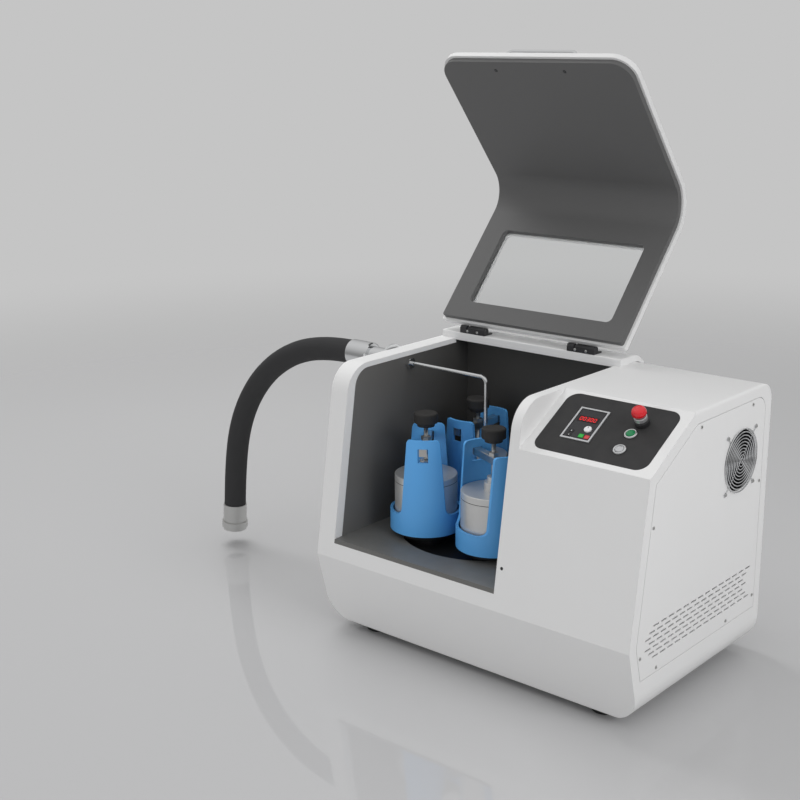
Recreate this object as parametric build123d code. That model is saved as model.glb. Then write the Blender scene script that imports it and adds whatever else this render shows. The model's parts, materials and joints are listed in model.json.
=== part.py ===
from build123d import *
import os
from math import acos, asin, atan2, cos, degrees, hypot, pi, radians, sin, tan

# Planetary ball mill with a hinged lid and a supply hose for cooling gas.
# Built in the cabinet's frame: X from its left side, Y from its front knee
# to the back, Z up from the bench. Everything is shifted once, at the end,
# so that the origin is the bottom centre of the machine's own box.
# All lengths are in millimetres and all angles in degrees.

# ---- cabinet ---------------------------------------------------------------
WIDTH = 720.0
DEPTH = 472.0
BODY_HEIGHT = 524.0
FOOT_HEIGHT = 15.0
SHEET = 3.0
KNEE_HEIGHT = 146.0          # knee of the front, above the cabinet's bottom
TOE_SETBACK = 38.0           # bottom front edge, behind the knee
FRONT_LEAN = 8.8             # front face, from upright
BOTTOM_CORNER_R = 56.0
TOP_CORNER_R = 5.0
FRONT_TOP_R = 60.0
BACK_TOP_R = 36.0
BACK_BOTTOM_R = 12.0
CABINET_BOTTOM = FOOT_HEIGHT
CABINET_TOP = FOOT_HEIGHT + BODY_HEIGHT
KNEE_Z = FOOT_HEIGHT + KNEE_HEIGHT
TOE_R = 6.0
BEYOND = 60.0                # how far a cutter runs past what it cuts

# ---- chamber ---------------------------------------------------------------
CHAMBER_WALL = 42.5          # insulated left wall
CHAMBER_WIDTH = 392.5
CHAMBER_SILL = 176.5         # above the cabinet's bottom
MOUTH_SETBACK = 86.0         # back edge of the chamber's mouth, from the cabinet's back
CHAMBER_SETBACK = 44.0       # inner face of the back liner, from the cabinet's back
DRIVE_SETBACK = 237.4        # turntable's axis, from the cabinet's back
REVEAL = 21.0                # painted return of the mouth, along its front
REVEAL_TOP = 10.0            # and along its top
FLOOR_PLATE = 8.5
LINER = 3.0
CHAMBER_X0 = CHAMBER_WALL
CHAMBER_X1 = CHAMBER_WALL + CHAMBER_WIDTH
SILL_Z = CABINET_BOTTOM + CHAMBER_SILL
FLOOR_TOP = SILL_Z + FLOOR_PLATE
MOUTH_DEPTH = DEPTH - MOUTH_SETBACK
CHAMBER_BACK = DEPTH - CHAMBER_SETBACK
DRIVE_X = CHAMBER_WALL + CHAMBER_WIDTH / 2
DRIVE_Y = DEPTH - DRIVE_SETBACK
FLOOR_GAP = 5.4              # between the turntable's rim and the floor's opening

# ---- console ---------------------------------------------------------------
CONSOLE_STRIP = 20.5         # rounded strip between the chamber and the slope
CONSOLE_TILT = 29.6
CONSOLE_DROP = 82.2          # where the slope meets the front, below the top
PANEL_LEFT = 16.5            # dark plate's edges, from the ends of the slope
PANEL_RIGHT = 19.5
PANEL_LOW = 12.5             # distances up the slope
PANEL_HIGH = 158.5
PANEL_R = 22.0
PANEL_THICK = 2.0
FIT_GAP = 0.3
KEYPAD_W = 59.5
KEYPAD_H = 78.5
KEYPAD_SHARE = 0.308         # keypad's centre, as a share of the dark plate's width
KEYPAD_UP = 87.4
KEYPAD_RIM = 2.0
KEYPAD_FRAME = 3.5
INVERTER_DEPTH = 88.0
DIAL_R = 7.0
DIAL_HEIGHT = 3.5
DIAL_EDGE = 1.2
DIAL_STEM_R = 2.0
DIAL_STEM = 6.0
DIAL_AT = (12.5, -11.0)      # from the keypad's centre
BUTTON_SHARE = 0.709         # buttons' centres, as a share of the dark plate's width
ESTOP_SHIFT = 7.5            # emergency stop, to the right of the buttons
ESTOP_UP = 116.5
START_UP = 88.0
POWER_UP = 48.5
BUTTON_R = 8.0
BUTTON_COLLAR_R = 12.0
BUTTON_COLLAR_H = 3.0
BUTTON_PROUD = 1.5
BUTTON_TRAVEL = 3.0
BUTTON_BARREL = 24.0
BUTTON_BARREL_R = 10.5
BUTTON_FLOOR = 4.0           # closed end of a button's barrel
ESTOP_BASE_R = 13.3
ESTOP_BASE_H = 10.0
ESTOP_COLLAR_R = 11.8
ESTOP_COLLAR_H = 9.0
ESTOP_HEAD_R = 13.3
ESTOP_HEAD_H = 13.0
ESTOP_HEAD_EDGE = 5.0
ESTOP_HEAD_DOME = 4.0
ESTOP_STEM_R = 5.0
ESTOP_TRAVEL = 4.0
RUN_GAP = 0.3                # between a button and its collar
SHAFT_GAP = 0.05             # radial running fit of a shaft

# ---- side panel and fan ----------------------------------------------------
PANEL_MARGIN = 22.5          # round the panel, from the cabinet's side outline
SIDE_PANEL_LOW = 82.6        # its lower edge, above the cabinet's bottom
SIDE_PANEL_BACK_R = 30.0
PANEL_GAP = 0.8
PANEL_LIP = 12.0
PANEL_SCREW_R = 2.0
PANEL_SCREW_HEAD_R = 3.4
PANEL_SCREW_HEAD_H = 1.4
SCREW_INSET = 8.0
SCREWS_TOP = (50.0, 239.0)   # from the back edge of the panel
SCREWS_LOW = (110.0, 359.0)
SCREWS_BACK = (109.0, 338.0)  # above the cabinet's bottom
SCREWS_FRONT = (126.0, 353.0)
SLOT_LENGTH = 18.5
SLOT_HEIGHT = 3.2
SLOT_PITCH = 25.5
SLOT_ROW_PITCH = 9.65
SLOT_LOW = 41.0              # lowest row's centre, above the panel's lower edge
SLOT_FRONT = 51.0            # foremost slot's end, from the knee
SLOT_BACK = 20.0             # least land behind a row
SLOT_SHIFTS = [2, 1, 0, 1, 0, 1, 2]   # half pitches each row is set back, lowest first
FAN_SETBACK = 111.0          # fan centre, from the cabinet's back
FAN_DROP = 126.6             # fan centre, below the cabinet's top
FAN_SIZE = 120.0
FAN_DEPTH = 25.0
FAN_SCREW_PITCH = 105.0
FAN_CORNER_R = 5.0
FAN_STRUT = 6.0
FAN_DUCT_R = 57.0
FAN_HUB_R = 20.0
FAN_BLADES = 7
FAN_BLADE_CHORD = 20.0
FAN_BLADE_THICK = 1.8
FAN_BLADE_PITCH = 55.0
FAN_BLADE_ROOT = 3.0         # how deep a blade runs into the hub
FAN_TIP_GAP = 2.0
FAN_PIN_R = 3.0
GUARD_WIRE = 2.2
GUARD_R = 60.0
GUARD_RINGS = 10
GUARD_EYE_R = 4.5

# ---- drive -----------------------------------------------------------------
DECK_HEIGHT = 77.0           # underside of the deck, above the cabinet's bottom
DECK_THICK = 10.0
DECK_LEFT = 62.0             # deck's edges, from the cabinet's sides, knee and back
DECK_RIGHT = 30.0
DECK_FRONT = 70.0
DECK_BACK = 42.0
POST = 30.0
SHAFT_R = 15.0
SHAFT_TAIL = 6.0
HOUSING_R = 35.0
HOUSING_FLANGE_R = 65.0
HOUSING_FLANGE_H = 10.0
HOUSING_BOLTS = 6
HOUSING_BOLT_HEAD_R = 6.4
HOUSING_BOLT_HEAD_H = 4.0
HOUSING_NOSE = 4.0           # above the sun gear
TOOTH_MODULE = 3.0
TEETH = 39                   # sun and planet gears alike
PRESSURE_ANGLE = 20.0
DEDENDUM = 1.25              # root depth, in modules
BACKLASH = 0.15
GEAR_WIDTH = 18.0
GEAR_RISE = 16.0             # underside of the gears, above the housing's flange
TURNTABLE_RIM = 45.0         # rim outside the stations' circle
TURNTABLE_THICK = 14.0
TURNTABLE_DROP = 14.0        # its top, below the chamber floor's top
TURNTABLE_BOSS_R = 27.0
TURNTABLE_BOSS_H = 14.0
MAIN_FLANGE_R = 45.0
MAIN_FLANGE_H = 8.0
MAIN_PULLEY_R = 75.0
MOTOR_PULLEY_R = 30.0
PULLEY_WIDTH = 20.0
PULLEY_DROP = 12.0           # top of the pulleys, below the deck
BELT_THICK = 4.0
BELT_WIDTH = 16.0
MOTOR_SETBACK = 132.0        # motor's axis, from the cabinet's right side
MOTOR_R = 68.0
MOTOR_LENGTH = 190.0
MOTOR_FLANGE = 150.0
MOTOR_FLANGE_H = 12.0
MOTOR_TOP_EDGE = 6.0
MOTOR_BOX = (70.0, 44.0, 60.0)
MOTOR_SHAFT_R = 9.5
MOTOR_SHAFT_HOLE_GAP = 4.0
MOTOR_SHAFT_IN = 60.0
FOOT_R = 22.0
FOOT_X_INSET = 92.0
FOOT_Y_FRONT = 76.0
FOOT_Y_BACK = 70.0           # from the cabinet's back
FOOT_EDGE = 2.0

# ---- the four stations -----------------------------------------------------
STATION_ANGLES = [225.0, 315.0, 45.0, 135.0]
HOLDER_YAW = [34.5, 67.5, 17.0, 0.0]
LID_RISE = [3.0, 3.0, 0.0, -2.0]
ORBIT_R = TOOTH_MODULE * TEETH
SPINDLE_R = 12.5
SPINDLE_NECK_R = 38.0
SPINDLE_SEAT_R = 58.0
SPINDLE_SEAT_H = 10.0
SEAT_RISE = 13.7             # underside of a holder, above the floor's top
THRUST_GAP = 0.4
HOLDER_R = 71.3
HOLDER_TOP_R = 67.6
HOLDER_WALL = 5.6
HOLDER_BASE = 8.0
HOLDER_HEIGHT = 194.9
HOLDER_RIM = 40.0
UPRIGHT_TOP_W = 64.0
UPRIGHT_FOOT_W = 88.0
UPRIGHT_FOOT_R = 14.0
UPRIGHT_TOP_R = 8.0
BAR_SIDE_GAP = 2.5
WINDOW_H = 27.0
WINDOW_DROP = 16.3           # top of the window, below the holder's top
BAR_W = 15.0
BAR_H = 15.0
BAR_PROUD = 0.4
BAR_EDGE = 1.0
BAR_BOSS_R = 6.5
BAR_BOSS_H = 8.0
JAR_GAP = 3.7                # round a jar in its holder
JAR_EDGE = 4.0
JAR_WALL = 6.0
JAR_BASE = 8.0
JAR_HEIGHT = 89.0
JAR_LID_H = 14.0
JAR_LID_SPIGOT = 5.0
JAR_LID_EDGE = 2.0
JAR_SEAL_GROOVE = 1.2
LID_BOSS_R = 18.0
LID_BOSS_H = 17.0
LID_TIP_R = 12.0
LID_TIP_H = 7.0
CLAMP_SCREW_R = 4.0
KNOB_R = 23.5
KNOB_H = 20.0
KNOB_HUB_R = 17.0
KNOB_HUB_H = 7.0
KNOB_HUB_FLARE = 1.5
KNOB_LOW_EDGE = 1.5
KNOB_TOP_EDGE = 4.0
KNOB_GAP = 17.0              # under the knob's hub, above the bar's boss

# ---- lid -------------------------------------------------------------------
LID_LEFT = 2.0               # from the cabinet's left side
LID_RIGHT = 3.5              # from the console's strip
LID_END_GAP = 1.5            # from the hinge beam
LID_GAP = 2.0                # all round the closed lid
LID_LINER = 10.5
LID_SHELL = 11.0
LID_FREE_GAP = 18.0          # free end above the knee, along the front
LID_FREE_R = 45.0
LID_HINGE_R = 4.0
LINER_INSET = 5.0
LID_OPEN = 131.8
WINDOW_LEFT = 55.0           # from the lid's left edge
WINDOW_RIGHT = 48.0
WINDOW_NEAR = 45.0           # from the lid's hinge end
WINDOW_FAR = 228.0
WINDOW_R = 12.0
PANE_LAP = 8.0
PANE_THICK = 4.0
HANDLE_PITCH = 161.0
HANDLE_SHIFT = -5.0          # its middle, from the lid's
HANDLE_FROM_END = 26.5
HANDLE_BAR_R = 5.0
HANDLE_REACH = 32.0
HANDLE_BEND_R = 12.0

# ---- hinges ----------------------------------------------------------------
BEAM_LEFT = 8.0              # from the cabinet's left side
BEAM_RIGHT = 8.5             # from the console's strip
BEAM_H = 14.0
BEAM_FLAT = 39.0             # flat top of the beam, front to back
BEAM_OVERHANG = 8.0
BEAM_TAIL = 17.0             # how far its tail hangs below the cabinet's top
BEAM_SKIN = 5.0
BEAM_BULGE = 0.9             # radius of its back as a share of the chord
BEAM_EDGE = 2.5
HINGE_IN = 47.0              # left hinge, from the beam's left end
HINGE_PITCH = 268.0
HINGE_W = 64.0
HINGE_D = 27.0
HINGE_PLATE = 3.0
HINGE_EAR_W = 15.5
HINGE_EAR_R = 7.0            # outer radius of a fixed ear round the pin
HINGE_WEB = 1.8              # upright front of the fixed plate
KNUCKLE_R = 4.5
KNUCKLE_GAP = 0.8            # beside the moving knuckle
HINGE_PIN_R = 2.2
PIVOT_SETBACK = 7.0          # behind the beam's front face
HINGE_FRONT = 0.0            # fixed plate, behind the beam's front face
KNUCKLE_LIFT = 1.0
HINGE_ARM = 44.0
HINGE_ARM_H = 3.0

# ---- cooling gas supply ----------------------------------------------------
INLET_DROP = 25.0            # axis, below the cabinet's top
INLET_FLANGE_R = 32.0
INLET_FLANGE_H = 8.0
INLET_FLANGE_EDGE = 3.0
INLET_NECK_R = 20.0
INLET_NECK = 48.0
COLLAR_R = 27.0
COLLAR_LENGTH = 57.0
COLLAR_EDGE = 2.5
TUBE_R = 4.0
TUBE_BEND_R = 12.0
TUBE_DROP = 114.0            # nozzle's mouth, below the inlet's axis
NUT_ACROSS = 20.0
NUT_LENGTH = 9.0
INLET_STEM_R = 10.0
HOSE_R = 25.0
HOSE_ROUTE = [(0.0, 0.0, 0.0), (-70.0, 0.0, 0.0), (-172.0, -4.0, -25.0), (-263.0, -9.0, -87.0),
              (-329.0, -13.0, -181.0), (-362.0, -15.0, -296.0), (-370.0, -15.0, -416.0)]
ARC_SHARE = 0.45             # share of the shorter run that an arc takes
COUPLING_LENGTH = 62.0
COUPLING_R = 27.0
COUPLING_BORE_R = 19.0
COUPLING_BORE = 34.0
COUPLING_RING_R = 30.0
COUPLING_RING = 14.0
COUPLING_LIP = 6.0

# ---- mains inlet -----------------------------------------------------------
MAINS_SETBACK = 100.0        # its middle, from the cabinet's right side
MAINS_HEIGHT = 60.0          # centre, above the cabinet's bottom
MAINS_W = 50.0
MAINS_H = 32.0
MAINS_DEPTH = 24.0
MAINS_LIP = 2.5
MAINS_RIM = 4.0
MAINS_SOCKET_W = 26.0
MAINS_SOCKET_H = 18.0
MAINS_PIN_PITCH = 7.0
MAINS_PIN = (2.0, 20.0, 5.0)

# ---- places worked out from the sizes --------------------------------------
CONSOLE_X = CHAMBER_X1 + CONSOLE_STRIP
PANEL_X0 = CONSOLE_X + PANEL_LEFT
PANEL_X1 = WIDTH - PANEL_RIGHT
KEYPAD_X = PANEL_X0 + KEYPAD_SHARE * (PANEL_X1 - PANEL_X0)
BUTTON_X = PANEL_X0 + BUTTON_SHARE * (PANEL_X1 - PANEL_X0)
ESTOP_X = BUTTON_X + ESTOP_SHIFT
DECK_X0 = DECK_LEFT
DECK_X1 = WIDTH - DECK_RIGHT
DECK_Y0 = DECK_FRONT
DECK_Y1 = DEPTH - DECK_BACK
MOTOR_X = WIDTH - MOTOR_SETBACK
MAINS_X = WIDTH - MAINS_SETBACK
FAN_Y = DEPTH - FAN_SETBACK
DECK_BOTTOM = CABINET_BOTTOM + DECK_HEIGHT
DECK_TOP = DECK_BOTTOM + DECK_THICK
FLANGE_TOP = DECK_TOP + HOUSING_FLANGE_H
GEAR_Z = FLANGE_TOP + GEAR_RISE
TURNTABLE_R = ORBIT_R + TURNTABLE_RIM
FLOOR_HOLE_R = TURNTABLE_R + FLOOR_GAP
TURNTABLE_TOP = FLOOR_TOP - TURNTABLE_DROP
TURNTABLE_BOTTOM = TURNTABLE_TOP - TURNTABLE_THICK
SEAT_TOP = FLOOR_TOP + SEAT_RISE
HOLDER_TOP = SEAT_TOP + HOLDER_HEIGHT
HOLDER_FLOOR = SEAT_TOP + HOLDER_BASE
JAR_R = HOLDER_R - HOLDER_WALL - JAR_GAP
WINDOW_W = BAR_W + 2 * BAR_SIDE_GAP
BAR_LENGTH = 2 * (HOLDER_TOP_R + BAR_PROUD)
JAR_TOP = HOLDER_FLOOR + JAR_HEIGHT
BAR_TOP = HOLDER_TOP - WINDOW_DROP
PULLEY_TOP = DECK_BOTTOM - PULLEY_DROP
PULLEY_BOTTOM = PULLEY_TOP - PULLEY_WIDTH
FAN_Z = CABINET_TOP - FAN_DROP
INLET_Z = CABINET_TOP - INLET_DROP
LID_X0 = LID_LEFT
LID_X1 = CONSOLE_X - LID_RIGHT
LID_END_Y = MOUTH_DEPTH - LID_END_GAP
WINDOW_X0 = LID_X0 + WINDOW_LEFT
WINDOW_X1 = LID_X1 - WINDOW_RIGHT
HANDLE_X = (LID_X0 + LID_X1) / 2 + HANDLE_SHIFT
BEAM_X0 = BEAM_LEFT
BEAM_X1 = CONSOLE_X - BEAM_RIGHT
HINGE_X = [BEAM_X0 + HINGE_IN, BEAM_X0 + HINGE_IN + HINGE_PITCH]
ARM_W = HINGE_W - 2 * HINGE_EAR_W - 2 * KNUCKLE_GAP
LID_INNER_Z = CABINET_TOP + LID_GAP
LID_THICK = LID_LINER + LID_SHELL
PLATE_Z = CABINET_TOP + BEAM_H
PIVOT_Y = MOUTH_DEPTH + PIVOT_SETBACK
PIVOT_Z = PLATE_Z + HINGE_PLATE + KNUCKLE_LIFT + KNUCKLE_R
SIDE_PLANE = WIDTH - SHEET


def front_y(z):
    """Y of the leaning front face at height z."""
    return (z - KNEE_Z) * tan(radians(FRONT_LEAN))


def edge_y(z):
    """Y of the cabinet's front edge at height z, above or below the knee."""
    return front_y(z) if z > KNEE_Z else TOE_SETBACK * (KNEE_Z - z) / KNEE_HEIGHT


def nearest(shape, *point):
    """The vertex of a flat outline that lies nearest to a point."""
    return shape.vertices().sort_by_distance(Vector(*point))[0]


def outline(points, radii):
    """A flat face through the points, its named corners rounded: {index: radius}."""
    face = make_face(Polyline(*points, close=True))
    for index, radius in radii.items():
        face = fillet(nearest(face, *points[index]), radius)
    return face


def drum(radius, z0, z1):
    """An upright cylinder on the Z axis between two heights."""
    return Pos(0, 0, (z0 + z1) / 2) * Cylinder(radius, z1 - z0)


def tube(outer, inner, z0, z1):
    """An upright tube on the Z axis between two heights."""
    return drum(outer, z0, z1) - drum(inner, z0 - BEYOND, z1 + BEYOND)


def block(x0, x1, y0, y1, z0, z1):
    """A box between two corners."""
    return Pos((x0 + x1) / 2, (y0 + y1) / 2, (z0 + z1) / 2) * Box(x1 - x0, y1 - y0, z1 - z0)


# ---- cabinet ---------------------------------------------------------------
CONSOLE_FRONT_Z = CABINET_TOP - CONSOLE_DROP
CONSOLE_FRONT_Y = front_y(CONSOLE_FRONT_Z)
TILT = radians(CONSOLE_TILT)
CONSOLE_BACK_Y = CONSOLE_FRONT_Y + CONSOLE_DROP / tan(TILT)
CONSOLE = Plane(origin=(0, CONSOLE_FRONT_Y, CONSOLE_FRONT_Z), x_dir=(1, 0, 0),
                z_dir=(0, -sin(TILT), cos(TILT)))
SIDE = outline([(TOE_SETBACK, CABINET_BOTTOM), (0, KNEE_Z), (front_y(CABINET_TOP), CABINET_TOP),
                (DEPTH, CABINET_TOP), (DEPTH, CABINET_BOTTOM)],
               {0: TOE_R, 2: FRONT_TOP_R, 3: BACK_TOP_R, 4: BACK_BOTTOM_R})
FRONT = outline([(0, CABINET_BOTTOM), (WIDTH, CABINET_BOTTOM), (WIDTH, CABINET_TOP), (0, CABINET_TOP)],
                {0: BOTTOM_CORNER_R, 1: BOTTOM_CORNER_R, 2: TOP_CORNER_R, 3: TOP_CORNER_R})


def grown(face, distance):
    """An outline moved outwards, or inwards where the distance is negative."""
    return offset(face, amount=distance) if distance else face


def through_x(face, x0, x1):
    """A YZ outline extruded between two X planes."""
    return extrude(Plane.YZ.offset(x0) * face, x1 - x0)


def console_wedge(inset):
    """The space above the console's slope, moved into the cabinet by an inset."""
    reach = 4 * DEPTH
    slab = Pos(reach / 2 + CONSOLE_X - inset, 0, reach / 2 - inset) * Box(reach, 2 * reach, reach)
    return CONSOLE * slab


def cabinet_block(inset):
    """The cabinet's outer form, all its faces moved inwards by an inset."""
    around = Pos(WIDTH / 2, CABINET_TOP / 2) * Rectangle(2 * WIDTH, 2 * CABINET_TOP) - grown(FRONT, -inset)
    corners = extrude(Plane.XZ.offset(BEYOND) * around, -(DEPTH + 2 * BEYOND))
    side = through_x(grown(SIDE, -inset), inset, WIDTH - inset)
    return side - corners - console_wedge(inset)


def mouth_hollow():
    """The chamber's side outline inside the mouth's painted return."""
    lift = REVEAL - REVEAL_TOP
    return Pos(lift * tan(radians(FRONT_LEAN)), lift) * grown(SIDE, -REVEAL)


def mouth_band(x0, x1):
    """The painted return of the chamber's mouth along one side wall."""
    band = through_x(SIDE - mouth_hollow(), x0, x1)
    return band & block(x0, x1, -BEYOND, MOUTH_DEPTH + SHEET, SILL_Z - SHEET, CABINET_TOP + BEYOND)


def side_panel_face(grow=0.0):
    """The side panel's outline in the YZ plane: the console's side, inset."""
    side = make_face(Polyline((TOE_SETBACK, CABINET_BOTTOM), (0, KNEE_Z),
                              (CONSOLE_FRONT_Y, CONSOLE_FRONT_Z), (CONSOLE_BACK_Y, CABINET_TOP),
                              (DEPTH, CABINET_TOP), (DEPTH, CABINET_BOTTOM), close=True))
    face = offset(side, amount=-PANEL_MARGIN, kind=Kind.INTERSECTION)
    low = CABINET_BOTTOM + SIDE_PANEL_LOW
    face -= Pos(DEPTH / 2, low - DEPTH / 2) * Rectangle(2 * DEPTH, DEPTH)
    face = fillet(nearest(face, DEPTH, CABINET_TOP), SIDE_PANEL_BACK_R)
    return grown(face, grow)


def screw_sites():
    """Side panel screw places: (Y, Z)."""
    inset = PANEL_MARGIN + SCREW_INSET
    back = DEPTH - PANEL_MARGIN
    sites = [(back - y, CABINET_TOP - inset) for y in SCREWS_TOP]
    sites += [(back - y, CABINET_BOTTOM + SIDE_PANEL_LOW + SCREW_INSET) for y in SCREWS_LOW]
    sites += [(DEPTH - inset, CABINET_BOTTOM + up) for up in SCREWS_BACK]
    sites += [(edge_y(CABINET_BOTTOM + up) + inset, CABINET_BOTTOM + up) for up in SCREWS_FRONT]
    return sites


def fan_corners():
    """Fan screw places: (Y, Z)."""
    half = FAN_SCREW_PITCH / 2
    return [(FAN_Y + sy * half, FAN_Z + sz * half) for sy in (-1, 1) for sz in (-1, 1)]


def rod_x(radius, x0, x1, y, z):
    """A cylinder along X."""
    return Pos((x0 + x1) / 2, y, z) * Rot(0, 90, 0) * Cylinder(radius, x1 - x0)


def console_drum(radius, x, up, low, high):
    """A cylinder square to the console, between two heights above its slope."""
    return CONSOLE * Pos(x, up, (low + high) / 2) * Cylinder(radius, high - low)


def console_cuts():
    """Holes through the console for the keypad and the three buttons."""
    deep = 4 * SHEET
    keypad = Box(KEYPAD_W + 2 * FIT_GAP, KEYPAD_H + 2 * FIT_GAP, deep)
    cuts = CONSOLE * Pos(KEYPAD_X, KEYPAD_UP, 0) * keypad
    for x, up in ((ESTOP_X, ESTOP_UP), (BUTTON_X, START_UP), (BUTTON_X, POWER_UP)):
        cuts += console_drum(BUTTON_BARREL_R + FIT_GAP, x, up, -deep, deep)
    return cuts


def panel_plate(grow, low, high):
    """The dark plate's form between two heights above the slope."""
    size = (PANEL_X1 - PANEL_X0 + 2 * grow, PANEL_HIGH - PANEL_LOW + 2 * grow)
    middle = Pos((PANEL_X0 + PANEL_X1) / 2, (PANEL_LOW + PANEL_HIGH) / 2)
    face = middle * RectangleRounded(*size, PANEL_R + grow)
    return CONSOLE * (Pos(0, 0, low) * extrude(face, high - low))


def make_cabinet_shell():
    """Folded and moulded outer shell with its mouth, console and side opening."""
    shell = cabinet_block(0) - cabinet_block(SHEET)
    x0, x1 = CHAMBER_X0 - LINER, CHAMBER_X1 + LINER
    lip_ring = through_x(side_panel_face(2 * PANEL_LIP) - side_panel_face(-PANEL_LIP),
                         SIDE_PLANE - SHEET, SIDE_PLANE)
    shell += lip_ring & cabinet_block(SHEET / 2)
    shell -= through_x(side_panel_face(PANEL_GAP), SIDE_PLANE, WIDTH + BEYOND)
    shell -= block(CHAMBER_X0, CHAMBER_X1, -BEYOND, MOUTH_DEPTH, SILL_Z, CABINET_TOP + BEYOND)
    shell += mouth_band(x0, CHAMBER_X0) + mouth_band(CHAMBER_X1, x1)
    shell += block(x0, x1, front_y(SILL_Z) + SHEET / 2, REVEAL, SILL_Z - SHEET, SILL_Z)
    shell -= panel_plate(FIT_GAP, -PANEL_THICK, BEYOND)
    shell -= console_cuts()
    for y, z in screw_sites():
        shell -= rod_x(PANEL_SCREW_R + FIT_GAP / 2, SIDE_PLANE - 2 * SHEET, WIDTH, y, z)
    shell -= rod_x(INLET_STEM_R + FIT_GAP, -BEYOND, CHAMBER_X0, DRIVE_Y, INLET_Z)
    shell -= block(MAINS_X - MAINS_W / 2, MAINS_X + MAINS_W / 2, DEPTH - 2 * SHEET, DEPTH + BEYOND,
                   CABINET_BOTTOM + MAINS_HEIGHT - MAINS_H / 2, CABINET_BOTTOM + MAINS_HEIGHT + MAINS_H / 2)
    return shell


def make_side_panel():
    """Service panel with its cooling slots and the fan's opening."""
    panel = through_x(side_panel_face(), SIDE_PLANE, WIDTH)
    x = (SIDE_PLANE + WIDTH) / 2
    slots = []
    room = DEPTH - PANEL_MARGIN - SLOT_BACK - SLOT_FRONT - max(SLOT_SHIFTS) * SLOT_PITCH / 2
    count = int((room + SLOT_PITCH - SLOT_LENGTH) / SLOT_PITCH)
    for row, shift in enumerate(SLOT_SHIFTS):
        z = CABINET_BOTTOM + SIDE_PANEL_LOW + SLOT_LOW + (row - 1) * SLOT_ROW_PITCH
        for index in range(count):
            y = SLOT_FRONT + (index + shift / 2) * SLOT_PITCH + SLOT_LENGTH / 2
            slots.append(Pos(x, y, z) * Box(4 * SHEET, SLOT_LENGTH, SLOT_HEIGHT))
    panel -= slots
    panel -= rod_x(FAN_DUCT_R, SIDE_PLANE - SHEET, WIDTH + SHEET, FAN_Y, FAN_Z)
    for y, z in screw_sites() + fan_corners():
        panel -= rod_x(PANEL_SCREW_R + FIT_GAP / 2, SIDE_PLANE - SHEET, WIDTH + SHEET, y, z)
    return panel


def make_panel_screws():
    """Button-head screws of the side panel and of the fan, as separate solids."""
    screws = []
    sites = [(WIDTH, site) for site in screw_sites()]
    sites += [(WIDTH + GUARD_WIRE, site) for site in fan_corners()]
    for seat, (y, z) in sites:
        head = rod_x(PANEL_SCREW_HEAD_R, seat, seat + PANEL_SCREW_HEAD_H, y, z)
        screws.append(head + rod_x(PANEL_SCREW_R, SIDE_PLANE - 2 * SHEET, seat, y, z))
    return Compound(children=screws)


def make_fan_guard():
    """Round finger guard: rings on two crossed bars with an eye at each screw."""
    span = FAN_SCREW_PITCH / 2 * 2 ** 0.5
    face = Sketch()
    step = GUARD_R / GUARD_RINGS
    for index in range(1, GUARD_RINGS + 1):
        radius = index * step
        face += Circle(radius) - Circle(radius - GUARD_WIRE)
    for turn in (45, 135):
        face += Rot(0, 0, turn) * Rectangle(2 * span, GUARD_WIRE)
    half = FAN_SCREW_PITCH / 2
    for y in (-half, half):
        for z in (-half, half):
            face += Pos(y, z) * Circle(GUARD_EYE_R)
    for y in (-half, half):
        for z in (-half, half):
            face -= Pos(y, z) * Circle(PANEL_SCREW_R + FIT_GAP / 2)
    return Pos(0, FAN_Y, FAN_Z) * through_x(face, WIDTH, WIDTH + GUARD_WIRE)


def make_fan_housing():
    """Square fan frame with its duct, back struts and motor cup."""
    x0 = SIDE_PLANE - FAN_DEPTH
    face = RectangleRounded(FAN_SIZE, FAN_SIZE, FAN_CORNER_R) - Circle(FAN_DUCT_R)
    half = FAN_SCREW_PITCH / 2
    for y in (-half, half):
        for z in (-half, half):
            face -= Pos(y, z) * Circle(PANEL_SCREW_R + FIT_GAP / 2)
    frame = through_x(face, x0, SIDE_PLANE)
    back = Circle(FAN_HUB_R)
    for turn in (0, 90):
        back += Rot(0, 0, turn + 45) * Rectangle(2 * FAN_DUCT_R + FAN_STRUT, FAN_STRUT)
    frame += through_x(back, x0, x0 + SHEET)
    frame -= rod_x(FAN_PIN_R + SHAFT_GAP, x0 - 1, x0 + SHEET + 1, 0, 0)
    return Pos(0, FAN_Y, FAN_Z) * frame


def make_fan_rotor():
    """Fan hub with its pin and pitched blades."""
    x0 = SIDE_PLANE - FAN_DEPTH
    hub_x0 = x0 + SHEET + RUN_GAP
    hub_x1 = SIDE_PLANE - SHEET
    rotor = rod_x(FAN_HUB_R, hub_x0, hub_x1, 0, 0) + rod_x(FAN_PIN_R, x0, hub_x0 + 1, 0, 0)
    root = FAN_HUB_R - FAN_BLADE_ROOT
    reach = FAN_DUCT_R - FAN_TIP_GAP
    middle = (hub_x0 + hub_x1) / 2
    blade = Rot(0, 0, FAN_BLADE_PITCH) * Box(FAN_BLADE_THICK, FAN_BLADE_CHORD, reach - root)
    blade = Pos(middle, 0, (reach + root) / 2) * blade
    for index in range(FAN_BLADES):
        rotor += Rot(index * 360 / FAN_BLADES, 0, 0) * blade
    return Pos(0, FAN_Y, FAN_Z) * rotor


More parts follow.
